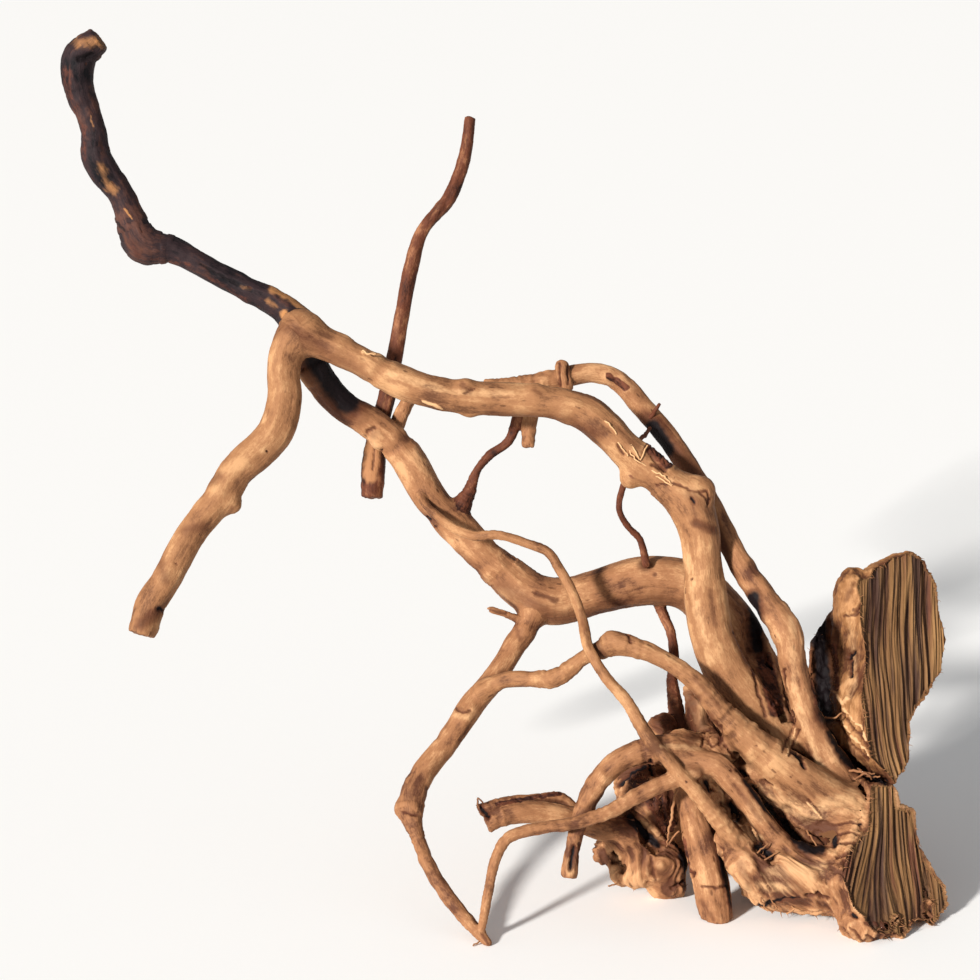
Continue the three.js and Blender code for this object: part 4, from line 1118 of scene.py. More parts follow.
# %% Strokes on the burl and the stump, whatever part they fall on
BURL_STROKES = [
    ("bark", 1.6, 0.6, [(76.4, 66), (77, 68.5), (77.6, 71)]),
    ("rust", 0.8, 0.7, [(76.4, 66), (77.6, 67.4)]),
    ("hole", 0.35, -2, [(76.6, 66.4), (77.2, 67)]),
    ("crack", 0.24, -1, [(75.2, 67), (75.8, 69.5), (76.6, 71.6)]),
    ("hole", 0.3, -2.4, [(79.2, 71.2), (79.4, 72)]),
    ("crack", 0.24, -1.4, [(78.4, 67), (78.6, 70), (79.3, 72.4)]),
    ("hole", 0.5, -2.2, [(79.4, 75.2), (80.1, 75.8)]), ("hole", 0.4, -2.2, [(80, 76), (80.4, 76.8)]),
    ("torn", 0.2, 0.6, [(79.8, 76.2), (80.1, 76.3)]), ("torn", 0.13, 0.6, [(78.6, 75.6), (79.6, 72.8)]),
    ("crack", 0.2, -0.7, [(78.9, 75.6), (79.9, 73)]),
    ("crack", 0.2, -0.7, [(78.2, 75.2), (79.2, 72.8)]),
    ("bark", 0.5, 0.3, [(83.4, 64.5), (83.6, 67), (83.8, 69)]),
    ("hole", 0.28, -2.4, [(85.3, 65.2), (84.8, 65.7)]),
    ("hole", 0.28, -2.4, [(85, 66), (85.1, 67.6)]),
    ("torn", 0.25, 1, [(83.6, 69.2), (84.4, 70.4), (84.8, 69.8)]),
    ("torn", 0.2, 1.2, [(83.8, 71.4), (85.2, 73.4), (87, 75.6)]),
    ("crack", 0.2, -1.4, [(84, 71), (85.5, 73), (87.2, 75.1)]),
    ("torn", 0.16, 1, [(84.4, 70.8), (86, 72.6), (86.6, 74)]),
    ("crack", 0.2, -1.4, [(83.7, 72), (85, 74.1), (86.8, 76)]),
    ("crack", 0.22, -1, [(84.4, 61.6), (85.6, 61.5)]),
    ("crack", 0.34, -3, [(85.6, 61.2), (86.2, 60.3), (87.1, 59)]),
    # Painted shade: the wide dark strokes of no height on this line and the next nine blacken the hollows
    # and gaps between the roots, under the slab and behind the back limb.
    ("hole", 2, 0, [(81.8, 62.6), (82.2, 67), (82.7, 71.6)]),
    ("hole", 1.5, 0, [(75.3, 59.8), (75.8, 64.8)]),
    ("hole", 0.9, 0, [(83, 73.4), (84.2, 75.6), (86, 77.2), (88.6, 78.4)]),
    ("hole", 1, 0, [(78.4, 82.2), (79.6, 83.9), (80.7, 84.9), (82.2, 85)]),
    ("hole", 0.7, 0, [(83.3, 83.6), (83.5, 84.6)]),
    ("rust", 0.7, 0, [(80.8, 83.8), (82.6, 84)]), ("hole", 0.9, 0, [(75.9, 84.7), (77.2, 85.7)]),
    ("hole", 0.8, 0, [(72.9, 80.4), (73.7, 81.6)]), ("hole", 0.7, 0, [(70.6, 78.2), (71, 79)]),
    ("hole", 0.5, 0, [(74.4, 78), (76, 80.3), (77.8, 82)]),
    ("hole", 0.7, 0, [(72, 85.4), (72.5, 87.6), (73.2, 90.4)]),
    ("hole", 1, 0, [(63, 81.9), (64.6, 83.4), (65.7, 84.5)]),
    # Painted shade: the first two dark strokes below and the two on the table's last line stand for the
    # shade that the arch root casts on the cone root.
    ("soot", 1.3, 0, [(69, 69.6), (69.6, 73)]),
    # Painted light: the wide pale strokes on the next three lines brighten faces turned to the sun, on
    # the burl's front and the root tops.
    ("soot", 1.5, 0, [(65.6, 72.2), (68, 71.6)]), ("worn", 2.2, 0.1, [(77, 87.4), (82, 86.8)]),
    ("worn", 1.6, 0.1, [(74.6, 88.6), (79, 88.8)]), ("worn", 1.2, 0.1, [(75.6, 78.6), (78, 80.2)]),
    ("worn", 1.6, 0, [(85, 88.4), (86, 91)]), ("worn", 1, 0, [(66.4, 74.6), (70, 74.8)]),
    ("rust", 0.7, 0, [(83.8, 62), (84.6, 63)]), ("stain", 0.5, -0.3, [(84.6, 60), (85.4, 58.4)]),
    ("stain", 0.6, 0, [(85.4, 64), (85.9, 69)]),
    ("crack", 0.21, -0.9, [(70.2, 74.6), (70.6, 73), (71.8, 72.8), (72.2, 74), (71.2, 74.8), (70.8, 74)]),
    ("crack", 0.24, -1.3, [(71.5, 72.2), (72.2, 73.4)]),
    ("crack", 0.24, -1.3, [(72.1, 72.5), (72, 74.5)]),
    ("crack", 0.24, -1.3, [(72.6, 74.6), (73.4, 76)]), ("stain", 0.9, -0.5, [(68.8, 76.6), (70, 77)]),
    ("hole", 0.45, -2.5, [(73.9, 77), (74.6, 77.6)]), ("hole", 0.2, -1, [(73.1, 77)]),
    ("crack", 0.2, -0.9, [(76.2, 78), (77.2, 78.5)]), ("torn", 0.2, 0.8, [(80.7, 80.2), (82.1, 81.7)]),
    ("crack", 0.2, -1, [(80.8, 80), (82.2, 81.5)]), ("hole", 0.2, -1, [(85.8, 82.5), (86.1, 82.5)]),
    ("crack", 0.2, -0.9, [(83.4, 82.6), (85, 82.2), (86.2, 82.8)]),
    ("crack", 0.2, -0.9, [(83, 83.4), (84.8, 83.2), (86.4, 83.6)]),
    ("crack", 0.2, -0.9, [(83.8, 84.5), (86, 84.2)]),
    ("crack", 0.28, -1.6, [(83.6, 85.7), (85, 85.3), (86.4, 85)]),
    ("crack", 0.3, -2.2, [(84.3, 86), (84.7, 86.8), (84.4, 87.5)]),
    ("crack", 0.21, -1.2, [(76.2, 87.7), (77, 89)]),
    ("crack", 0.32, -2.2, [(80.8, 89.6), (81.8, 89.4), (82.8, 89.8)]),
    ("hole", 0.3, -1.6, [(85.1, 91.4), (85.6, 91.8)]),
    ("stain", 0.9, 0, [(74, 86.4), (75, 88.4)]), ("stain", 0.7, 0, [(78, 87), (80, 89)]),
    ("rust", 1.3, 0.4, [(85.2, 93.4), (88, 94.3)]), ("crack", 0.24, -1, [(86.5, 92.3), (88, 92.8)]),
    ("crack", 0.2, -0.9, [(86.6, 93.4), (88.4, 94.4)]), ("crack", 0.2, -0.9, [(85, 92.6), (86.4, 94)]),
    ("hole", 0.3, -1.2, [(76, 90.3), (78.4, 90.1), (80, 89.9)]),
    # Painted light: the wide pale strokes on the next two lines brighten the burl's front, which faces
    # the sun.
    ("worn", 2.6, 0.2, [(77, 79.6), (81, 81.4), (84.6, 80)]),
    ("worn", 1, 0.1, [(74, 83.6), (76, 83.8)]), ("stain", 0.4, 0, [(80.6, 79), (81.4, 79.6)]),
    ("worn", 1.2, 0, [(85, 61.6), (85.4, 66), (84.8, 69.6)]),
    ("worn", 1.2, 0, [(79.2, 62), (79.6, 70), (82, 76.6)]),
    ("hole", 0.4, -2, [(62, 78.5), (63, 77.2), (64.5, 76.5)]),
    ("hole", 0.35, -2, [(65, 76.1), (65.3, 77.4)]),
    ("crack", 0.34, -2.4, [(67.2, 89), (68.4, 88), (69.4, 87.4)]),
    ("crack", 0.2, -1, [(65.1, 85.6), (65.5, 88)]), ("stain", 1.2, 0, [(64.4, 86.4), (67, 88)]),
    # Painted shade from the arch root on the cone root.
    ("soot", 1.2, 0, [(68, 72), (69.6, 70)]), ("soot", 1.2, 0, [(69, 74), (71, 71.8)]),
]
# The dye that each kind of stroke lays down: dark, pale or bark, and how much. Some of the
# dark dye is painted shade and some of the pale dye is painted light.
DYES_AND_PAINTED_LIGHT = {
    "crack": (0, 0.6), "hole": (0, 1), "soot": (0, 0.55), "stain": (0, 0.3),
    "torn": (1, 1), "worn": (1, 0.5), "bark": (2, 1), "rust": (2, 0.45),
}


# %% Lay the strokes on the wood
def stroke_strength(across, down, width, spots):
    """1 on a stroke and 0 beyond its half width, for places on the sketch."""
    spots = np.array(spots, float)
    nearest = np.full(len(across), FAR)
    for start, end in zip(spots, spots[1:] if len(spots) > 1 else spots):
        way = end - start
        length = max((way**2).sum(), 1e-9)
        share = np.clip(((across - start[0]) * way[0] + (down - start[1]) * way[1]) / length, 0, 1)
        gap = np.hypot(across - start[0] - share * way[0], down - start[1] - share * way[1])
        nearest = np.minimum(nearest, gap)
    strength = np.clip(1 - nearest / width, 0, 1)
    return strength**2 * (3 - 2 * strength)


towards_eye = EYE - points
towards_eye /= np.linalg.norm(towards_eye, axis=1)[:, None]
faces_eye = (normals * towards_eye).sum(axis=1) > 0.05
across = across + 0.12 * noise(points / 3, 31)
down = down + 0.12 * noise(points / 3, 32)
dye_and_painted_light = np.zeros((len(points), 3))
strokes = [(None, *stroke) for stroke in BURL_STROKES]
for name, rows in LIMB_STROKES.items():
    strokes.extend((NAMES.index(name), *row) for row in rows)
for part, kind, width, height, spots in strokes:
    low = np.min(spots, axis=0) - width
    high = np.max(spots, axis=0) + width
    inside = (across > low[0]) & (across < high[0]) & (down > low[1]) & (down < high[1])
    own = np.nonzero(inside & faces_eye & ((first == part) | (part is None)) & (sawn < 0.5))[0]
    strength = stroke_strength(across[own], down[own], width, spots)
    channel, amount = DYES_AND_PAINTED_LIGHT[kind]
    relief[own] += height * strength
    if kind == "bark":
        relief[own] += 1.5 * strength * crests(noise(points[own] / [2.6, 2.6, 3.6], 33)) - strength
    # The dark channel carries cracks, holes, stains and painted shade; the pale one carries pale wood and
    # painted light.
    dye_and_painted_light[own, channel] = np.maximum(dye_and_painted_light[own, channel], amount * strength)
print(len(strokes), "strokes")

# %% Carve the relief
height = np.clip(relief, -2.5, 2.5)
points = points + normals * relief[:, None]
points[:, 2] = np.maximum(points[:, 2], 0)
normals = point_normals(points)
print("carved box", points.min(axis=0).round(1), points.max(axis=0).round(1))

# %% [markdown]
# ## One piece for each part
#
# The mesh is split where the nearest part changes. Both sides of a border keep the same
# points and the same normals, so nothing shows from outside. The burl is too fine for one
# piece, so it is split once more, in a front, a back and the wood behind the saw cut.
#
# Each hole that the split leaves is closed with a fan of triangles to one point inside the
# wood. Of several such points, the one is taken whose fan stays deepest in the wood. Where
# every fan would come out of the wood somewhere, the shell gets a lining instead: the same
# faces again, a little deeper and turned round, with a wall along the rim.

# %% Closed shells
SLOTS = {row["node"]: row["material_slot"] for row in frame["record"]["subparts"]}
CAP_DEPTHS = (2, 4, 7, 11, 16, 24)  # mm under the rim
LINING = 1.2  # mm


def rims(edges):
    """Groups of directed edges that hang together, as lists of edge numbers."""
    group = {}

    def root(point):
        while group.setdefault(point, point) != point:
            group[point] = group[group[point]]
            point = group[point]
        return point

    for a, b in edges:
        group[root(a)] = root(b)
    found = {}
    for number, (a, _) in enumerate(edges):
        found.setdefault(root(a), []).append(number)
    return list(found.values())


def cap_point(rim, directions):
    """A point inside the wood from which the rim is seen through wood alone."""
    choices = [rim.mean(axis=0) - depth * directions.mean(axis=0) for depth in CAP_DEPTHS]
    some = rim[:: max(1, len(rim) // 60)]
    worst = []
    for choice in choices:
        spokes = np.concatenate([some + (choice - some) * share for share in (0.2, 0.5, 0.8, 1)])
        worst.append(wood(spokes).max())
    return choices[int(np.argmin(worst))], min(worst)


def cut_out(faces):
    """Points, normals and closed faces of the shell made by some quads."""
    used, local = np.unique(faces, return_inverse=True)
    local = local.reshape(faces.shape)
    sides = np.concatenate([local[:, [k, (k + 1) % 4]] for k in range(4)])
    sides = sides[sides[:, 0] != sides[:, 1]]
    keys = sides[:, 0] * len(used) + sides[:, 1]
    back = sides[:, 1] * len(used) + sides[:, 0]
    open_sides = sides[~np.isin(keys, back)]
    shell_points = points[used]
    shell_normals = normals[used]
    rows = [row[:3] if row[2] == row[3] else row for row in local.tolist()]
    caps = []
    extra = []
    shallowest = -FAR
    for rim in rims([tuple(side) for side in open_sides.tolist()]):
        rim_points = np.unique(open_sides[rim])
        inside, depth = cap_point(shell_points[rim_points], shell_normals[rim_points])
        shallowest = max(shallowest, depth)
        middle = len(used) + len(extra)
        extra.append(inside)
        caps.extend((b, a, middle) for a, b in open_sides[rim].tolist())
    closing = "fans"
    if shallowest > 0.4:
        closing = "a lining"
        count = len(used)
        extra = shell_points - LINING * shell_normals
        caps = [[point + count for point in reversed(row)] for row in rows]
        caps.extend((b, a, a + count, b + count) for a, b in open_sides.tolist())
    shell_points = np.vstack([shell_points, extra])
    shell_normals = np.vstack([shell_normals, np.tile([0, 0, 1.0], (len(extra), 1))])
    return used, shell_points, shell_normals, rows + caps, closing


def new_object(name, positions, faces):
    """A mesh object at the origin, from positions in mm."""
    data = bpy.data.meshes.new(name)
    data.from_pydata((positions * MM).tolist(), [], faces)
    thing = bpy.data.objects.new(name, data)
    bpy.context.scene.collection.objects.link(thing)
    return thing


# %% Make the pieces
middle_of_faces = sketched(points[quads].mean(axis=1))
face_part = first[quads[:, 0]]
PIECES = {name + "_wood": (name, face_part == number) for number, name in enumerate(NAMES)}
burl_faces = PIECES.pop("root_burl_wood")[1]
is_heart = middle_of_faces[0] > 84
is_front = ~is_heart & (middle_of_faces[2] < -12)
is_left = ~is_heart & ~is_front & (middle_of_faces[0] < 73)
is_back = ~is_heart & ~is_front & ~is_left
PIECES["root_burl_front"] = ("root_burl", burl_faces & is_front)
PIECES["root_burl_left"] = ("root_burl", burl_faces & is_left)
PIECES["root_burl_back"] = ("root_burl", burl_faces & is_back)
PIECES["root_burl_heart"] = ("root_burl", burl_faces & is_heart)

pieces = {}
for name, (node, chosen) in PIECES.items():
    used, shell_points, shell_normals, faces, closing = cut_out(quads[chosen])
    piece = new_object(name, shell_points, faces)
    shape = piece.data
    shape.normals_split_custom_set_from_vertices(shell_normals.tolist())
    padding = np.zeros((len(shell_points) - len(used), 3))  # for the points of the closing
    along_grain = shape.attributes.new("grain", "FLOAT_VECTOR", "POINT")
    along_grain.data.foreach_set("vector", (np.vstack([grain[used], padding]) * MM).ravel())
    for key, values in (("height", height), ("sawn", sawn), ("crevice", crevice)):
        layer = shape.attributes.new(key, "FLOAT", "POINT")
        layer.data.foreach_set("value", np.append(values[used], padding[:, 0]))
    dye_and_painted_light_layer = shape.attributes.new("dye_and_painted_light", "FLOAT_COLOR", "POINT")
    dye_and_painted_light_rows = np.column_stack([np.vstack([dye_and_painted_light[used], padding]), np.ones(len(shell_points))])
    dye_and_painted_light_layer.data.foreach_set("color", dye_and_painted_light_rows.ravel())
    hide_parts(node)
    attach(piece, "root")
    pieces[name] = piece
    print(name, len(faces), "faces, closed with", closing)

# %% [markdown]
# ## Shader helpers
#
# A shader is a graph of small nodes. These helpers keep each node to one readable call: an
# input is either a plain value or the output of another node.

# %% Helpers for shader nodes
def add_node(tree, kind, inputs, **settings):
    """A new shader node, its settings made and its inputs set or linked."""
    made = tree.nodes.new("ShaderNode" + kind)
    for setting, value in settings.items():
        setattr(made, setting, value)
    for socket, value in inputs.items():
        if isinstance(value, bpy.types.NodeSocket):
            tree.links.new(value, made.inputs[socket])
        else:
            made.inputs[socket].default_value = value
    return made


def math_node(tree, operation, a, b=0.0, clamp=False):
    """Arithmetic on two numbers."""
    return add_node(tree, "Math", {0: a, 1: b}, operation=operation, use_clamp=clamp).outputs[0]


def mixed(tree, share, a, b, blend="MIX"):
    """A colour between a and b."""
    made = add_node(tree, "Mix", {0: share, 6: a, 7: b}, data_type="RGBA", blend_type=blend)
    return made.outputs[2]


def noise_node(tree, vector, scale, detail=4.0, rough=0.55):
    """Noise around 0.5 whose bumps are about 1 / scale metres wide."""
    inputs = {"Vector": vector, "Scale": scale, "Detail": detail, "Roughness": rough}
    return add_node(tree, "TexNoise", inputs).outputs["Fac"]


def ramp_node(tree, value, low, high):
    """0 below low, 1 above high, and a soft rise between them."""
    inputs = {"Value": value, "From Min": low, "From Max": high}
    return add_node(tree, "MapRange", inputs, interpolation_type="SMOOTHSTEP").outputs["Result"]


def colour(red, green, blue):
    """A picture colour, 0 to 255, as the linear light that a shader works with."""
    levels = [level / 255 for level in (red, green, blue)]
    return (*[x / 12.92 if x <= 0.04045 else ((x + 0.055) / 1.055) ** 2.4 for x in levels], 1.0)


# %% [markdown]
# ## Wood and bark
#
# Scraped root wood is golden tan with long faint streaks. It is painted darker where its surface
# lies low, as painted shade, and paler where it stands high. Small dark pores are scattered over
# it, and broad stains come and go. Crevices are darkened, partly for dust and partly as painted
# shade. All finishes here share that recipe and differ in their colours and amounts.
#
# The dyes of the strokes lie over it: dark for cracks, pale for torn edges, red-brown where bark
# was left. Some of the dark dye is painted shade in hollows and cast shadows, and some of the pale
# dye is painted light. On the sawn faces the grooves get painted shade and the crests painted light.

# %% The recipe
STREAKY = 0.3  # how much the streaks change the tone
PORES = 0.6  # how dark the pores are
BARE_AND_PAINTED_LIGHT = (206, 162, 118)
BARK = (110, 64, 45)
DARK_STAIN_AND_PAINTED_SHADE = (84, 46, 30)


def uneven(tree, value, pattern, amount):
    """A value made higher and lower by a pattern that lies round 0.5."""
    shift = math_node(tree, "SUBTRACT", pattern, 0.5)
    return math_node(tree, "ADD", value, math_node(tree, "MULTIPLY", shift, amount))


def wood_finish(name, low, base, high, stain, stained=0.45, bare_and_painted_light=BARE_AND_PAINTED_LIGHT, bark=BARK, soot=DARK_STAIN_AND_PAINTED_SHADE):
    """Wood of three tones along its relief, with streaks, stains, pores and the dyes."""
    material = bpy.data.materials.new(name)
    material.use_nodes = True
    tree = material.node_tree
    surface = tree.nodes["Principled BSDF"]
    grain_at = add_node(tree, "Attribute", {}, attribute_name="grain").outputs["Vector"]
    height = add_node(tree, "Attribute", {}, attribute_name="height").outputs["Fac"]
    dye_and_light_channels = add_node(tree, "Attribute", {}, attribute_name="dye_and_painted_light").outputs["Color"]
    dye_and_light_channels = add_node(tree, "SeparateColor", {0: dye_and_light_channels}).outputs
    crevice = add_node(tree, "Attribute", {}, attribute_name="crevice").outputs["Fac"]
    sawn = add_node(tree, "Attribute", {}, attribute_name="sawn").outputs["Fac"]
    spot = add_node(tree, "TexCoord", {}).outputs["Object"]

    long_grain = add_node(tree, "Mapping", {"Vector": grain_at, "Scale": (1, 1, 0.09)})
    long_grain = long_grain.outputs["Vector"]
    short_grain = add_node(tree, "Mapping", {"Vector": grain_at, "Scale": (1, 1, 0.4)})
    short_grain = short_grain.outputs["Vector"]
    streaks = noise_node(tree, long_grain, 620, 5, 0.6)
    mottling = noise_node(tree, short_grain, 260, 6, 0.68)
    speckles = noise_node(tree, short_grain, 1500, 3, 0.6)
    broad = noise_node(tree, spot, 34, 3, 0.55)
    patches = noise_node(tree, short_grain, 75, 5, 0.6)

    tone = math_node(tree, "MULTIPLY_ADD", streaks, STREAKY)
    tone.node.inputs[2].default_value = 0.5 - STREAKY / 2
    # Painted shade: the tone drops where the relief lies low, and rises where it stands high.
    tone = math_node(tree, "ADD", tone, math_node(tree, "MULTIPLY", height, 0.22))
    tone = uneven(tree, tone, mottling, 0.68)
    tone = uneven(tree, tone, speckles, 0.4)
    tone = uneven(tree, tone, broad, 1.2)
    shade = mixed(tree, ramp_node(tree, tone, 0.18, 0.52), low, base)
    shade = mixed(tree, ramp_node(tree, tone, 0.5, 0.84), shade, high)

    stains = math_node(tree, "MULTIPLY", ramp_node(tree, patches, 0.56, 0.76), stained)
    shade = mixed(tree, stains, shade, stain)
    cells = {"Vector": short_grain, "Scale": 230, "Randomness": 1.0}
    pore = add_node(tree, "TexVoronoi", cells)
    lonely = add_node(tree, "SeparateColor", {0: pore.outputs["Color"]}).outputs[0]
    dots = math_node(tree, "SUBTRACT", 1.0, ramp_node(tree, pore.outputs["Distance"], 0.1, 0.22))
    dots = math_node(tree, "MULTIPLY", dots, ramp_node(tree, lonely, 0.72, 0.78))
    dots = math_node(tree, "MULTIPLY", dots, PORES)
    shade = mixed(tree, dots, shade, colour(70, 38, 24))

    # Crevices darkened: partly dust and dark bark remains, partly painted shade where the wood closes in.
    dust_and_painted_shade = ramp_node(tree, uneven(tree, crevice, broad, 0.6), 0.35, 1.1)
    shade = mixed(tree, math_node(tree, "MULTIPLY", dust_and_painted_shade, 0.85), shade, colour(70, 38, 26))

    ragged = math_node(tree, "MULTIPLY", math_node(tree, "SUBTRACT", mottling, 0.5), 0.9)
    barked = ramp_node(tree, math_node(tree, "ADD", dye_and_light_channels[2], ragged), 0.3, 0.6)
    bark_tone = mixed(tree, ramp_node(tree, mottling, 0.4, 0.62), colour(48, 26, 22), colour(*bark))
    shade = mixed(tree, barked, shade, bark_tone)
    # Pale dye: torn and worn wood, and painted light where wide pale strokes brighten faces turned to the
    # sun.
    peeled_and_painted_light = ramp_node(tree, math_node(tree, "ADD", dye_and_light_channels[1], ragged), 0.25, 0.8)
    shade = mixed(tree, peeled_and_painted_light, shade, colour(*bare_and_painted_light))
    # Dark dye, brown and then near black: cracks, holes and stains, and painted shade in hollows, gaps
    # and cast shadows.
    dark = math_node(tree, "ADD", dye_and_light_channels[0], math_node(tree, "MULTIPLY", ragged, 0.4))
    browner = math_node(tree, "MULTIPLY", ramp_node(tree, dark, 0.02, 0.45), 0.75)
    shade = mixed(tree, browner, shade, colour(*soot))
    shade = mixed(tree, ramp_node(tree, dark, 0.4, 0.85), shade, colour(20, 13, 15))

    bands = add_node(tree, "Mapping", {"Vector": grain_at, "Scale": (1, 1, 0.05)}).outputs["Vector"]
    wide_bands = noise_node(tree, bands, 130, 3, 0.55)
    fine_bands = noise_node(tree, bands, 900, 3, 0.65)
    # Painted shade and light on the sawn faces: the grooves are coloured dark and the crests pale by
    # their height.
    level = math_node(tree, "MULTIPLY_ADD", height, 0.3)
    level.node.inputs[2].default_value = 0.92
    level = uneven(tree, level, fine_bands, 0.9)
    torn = mixed(tree, ramp_node(tree, wide_bands, 0.36, 0.46), colour(100, 62, 46), colour(122, 88, 56))
    torn = mixed(tree, ramp_node(tree, wide_bands, 0.5, 0.6), torn, colour(74, 53, 43))
    torn = mixed(tree, ramp_node(tree, level, 0.05, 0.42), colour(58, 36, 29), torn)
    torn = mixed(tree, ramp_node(tree, level, 0.45, 0.9), torn, colour(150, 112, 72))
    shift = math_node(tree, "SUBTRACT", broad, 0.5)
    torn = mixed(tree, math_node(tree, "MULTIPLY", shift, 0.8), torn, colour(60, 38, 28))
    shade = mixed(tree, ramp_node(tree, sawn, 0.3, 0.7), shade, torn)

    fibres = math_node(tree, "MULTIPLY", streaks, 0.6)
    fibres = math_node(tree, "ADD", fibres, math_node(tree, "MULTIPLY", speckles, 0.35))
    ribs = math_node(tree, "MULTIPLY", math_node(tree, "MULTIPLY", fine_bands, 1.6), sawn)
    fibres = math_node(tree, "ADD", fibres, ribs)
    fibres = math_node(tree, "ADD", fibres, math_node(tree, "MULTIPLY", mottling, 0.9))
    fibres = math_node(tree, "SUBTRACT", fibres, math_node(tree, "MULTIPLY", dots, 0.8))
    bump = add_node(tree, "Bump", {"Height": fibres, "Distance": 0.0011, "Strength": 0.55})
    tree.links.new(shade, surface.inputs["Base Color"])
    tree.links.new(bump.outputs["Normal"], surface.inputs["Normal"])
    surface.inputs["Roughness"].default_value = 0.62
    surface.inputs["Specular IOR Level"].default_value = 0.12
    return material


# %% Five finishes
MATERIALS = {
    "bare_wood": wood_finish(
        "bare_wood", colour(88, 54, 38), colour(149, 103, 70), colour(191, 144, 103), colour(98, 60, 42)
    ),
    "pale_wood": wood_finish(
        "pale_wood", colour(96, 62, 42), colour(150, 105, 71), colour(184, 139, 98), colour(106, 67, 44),
        stained=0.35,
    ),
    "dark_wood": wood_finish(
        "dark_wood", colour(40, 21, 17), colour(96, 54, 37), colour(156, 106, 74), colour(48, 26, 22),
        stained=0.7, bare_and_painted_light=(158, 110, 74),
    ),
    "dark_bark": wood_finish(
        "dark_bark", colour(12, 11, 15), colour(45, 33, 35), colour(86, 56, 47), colour(94, 58, 43),
        stained=0.9, bare_and_painted_light=(168, 117, 74), bark=(88, 50, 39), soot=(24, 17, 18),
    ),
    "sawn_wood": wood_finish(
        "sawn_wood", colour(86, 52, 34), colour(142, 98, 62), colour(178, 130, 88), colour(92, 54, 36),
        stained=0.3,
    ),
}
for name, piece in pieces.items():
    piece.data.materials.append(MATERIALS[SLOTS[PIECES[name][0]]])

# %% [markdown]
# ## Root hairs, splinters and twigs
#
# A few hair roots, peeled splinters and twigs are too thin for the field. Each is a route
# again, with a thickness at every point. Geometry Nodes turn the routes into round strands: they
# read them as curves, take the thickness of each point from an attribute, and sweep a small
# circle along them.

# %% Routes of the strands: squares across, squares down, mm deep, radius in mm
HAIRS = [
    [(68, 78.5, -24, 0.5), (67.4, 80, -25, 0.9), (67.2, 81.5, -24, 0.9), (66.9, 83, -22, 0.7),
     (66.7, 84.7, -20, 0.3)],
    [(66.9, 84.5, -21, 0.4), (67.4, 83.6, -24, 0.6), (68, 83.1, -26, 0.4)],
    [(47.9, 80.8, -26, 0.7), (47.8, 79.8, -27, 0.5), (48.3, 80.3, -28, 0.3)],
    [(76, 89.6, -46, 0.6), (76.4, 90.6, -46, 0.5), (77.2, 91.2, -44, 0.3)],
    [(77, 89.8, -45, 0.5), (77.6, 90.8, -44, 0.4), (77.1, 91.3, -43, 0.25)],
    [(78.8, 89.6, -44, 0.6), (79.2, 90.6, -43, 0.5), (80, 91, -42, 0.3)],
    [(79.8, 89.4, -43, 0.5), (79.4, 90.9, -41, 0.35), (78.7, 91.4, -40, 0.25)],
    [(82.5, 71.7, 4, 0.5), (83.4, 71.8, 0, 0.6), (84.2, 71.2, 1, 0.4)],
    [(85, 77, -16, 0.8), (86, 77.2, -20, 0.9), (87.4, 77.4, -20, 0.5)],
    [(85.6, 77.8, -18, 0.6), (86.6, 77.4, -22, 0.7), (87.2, 77.9, -20, 0.4)],
    [(85.8, 76.8, -12, 0.5), (86.8, 77.6, -18, 0.6), (88, 77.7, -18, 0.3)],
    [(75.6, 85.4, -48, 0.6), (76.3, 84.8, -48, 0.5), (76.9, 84.3, -47, 0.5)],
    [(76, 86.2, -50, 0.6), (77, 85.7, -50, 0.5), (77.8, 85.2, -49, 0.5)],
    [(80.4, 82.6, -28, 0.6), (81, 83.6, -34, 0.6), (81.8, 84.8, -36, 0.4)],
    [(48.4, 93.4, -58, 0.6), (47.9, 94.2, -60, 0.4), (47.3, 94.6, -62, 0.25)],
    [(49.6, 61, 26, 1.2), (48.9, 60.8, 24, 0.9), (48.7, 61, 24, 0.5)],
    [(62.6, 87.6, 0, 0.5), (61.6, 88.4, -4, 0.4), (60.8, 88.6, -6, 0.25)],
    [(69, 76.6, -12, 0.6), (69.6, 78, -16, 0.6), (70.4, 79.4, -18, 0.4)],
]
SPLINTERS = [
    [(60.4, 42.1, -17.6, 0.3), (61, 42.4, -19.4, 0.5), (61.6, 43.4, -18.4, 0.4)],
    [(61.7, 44, -17.6, 0.35), (62.2, 44.8, -19.2, 0.5), (62.9, 45.6, -17.6, 0.3)],
    [(63.1, 44.4, -17.4, 0.3), (63.6, 45.2, -19, 0.45), (64, 46, -18.4, 0.5), (64.4, 45.2, -18, 0.4),
     (64.7, 44.6, -15.6, 0.3)],
    [(62.9, 45, -17.4, 0.3), (63.6, 46, -19, 0.4), (64.6, 46.6, -17, 0.3)],
    [(65.2, 47.1, -17, 0.4), (66.2, 47.5, -19, 0.6), (67.4, 48.6, -18, 0.4)],
    [(65.6, 47.6, -17, 0.3), (66.8, 48.3, -18.8, 0.45), (67.6, 48.9, -17.6, 0.3)],
    [(36.2, 35, -15, 0.3), (36.8, 35.4, -18, 0.4), (37.6, 35.4, -17, 0.3)],
]
TWIGS = [
    [(65, 41.8, 25, 1.4), (65.6, 41, 22, 1.3), (65.9, 40.4, 20, 1.0)],
    [(63.6, 44.2, -4, 1.5), (64.3, 43.7, 6, 1.4), (65, 42.8, 20, 1.2)],
]


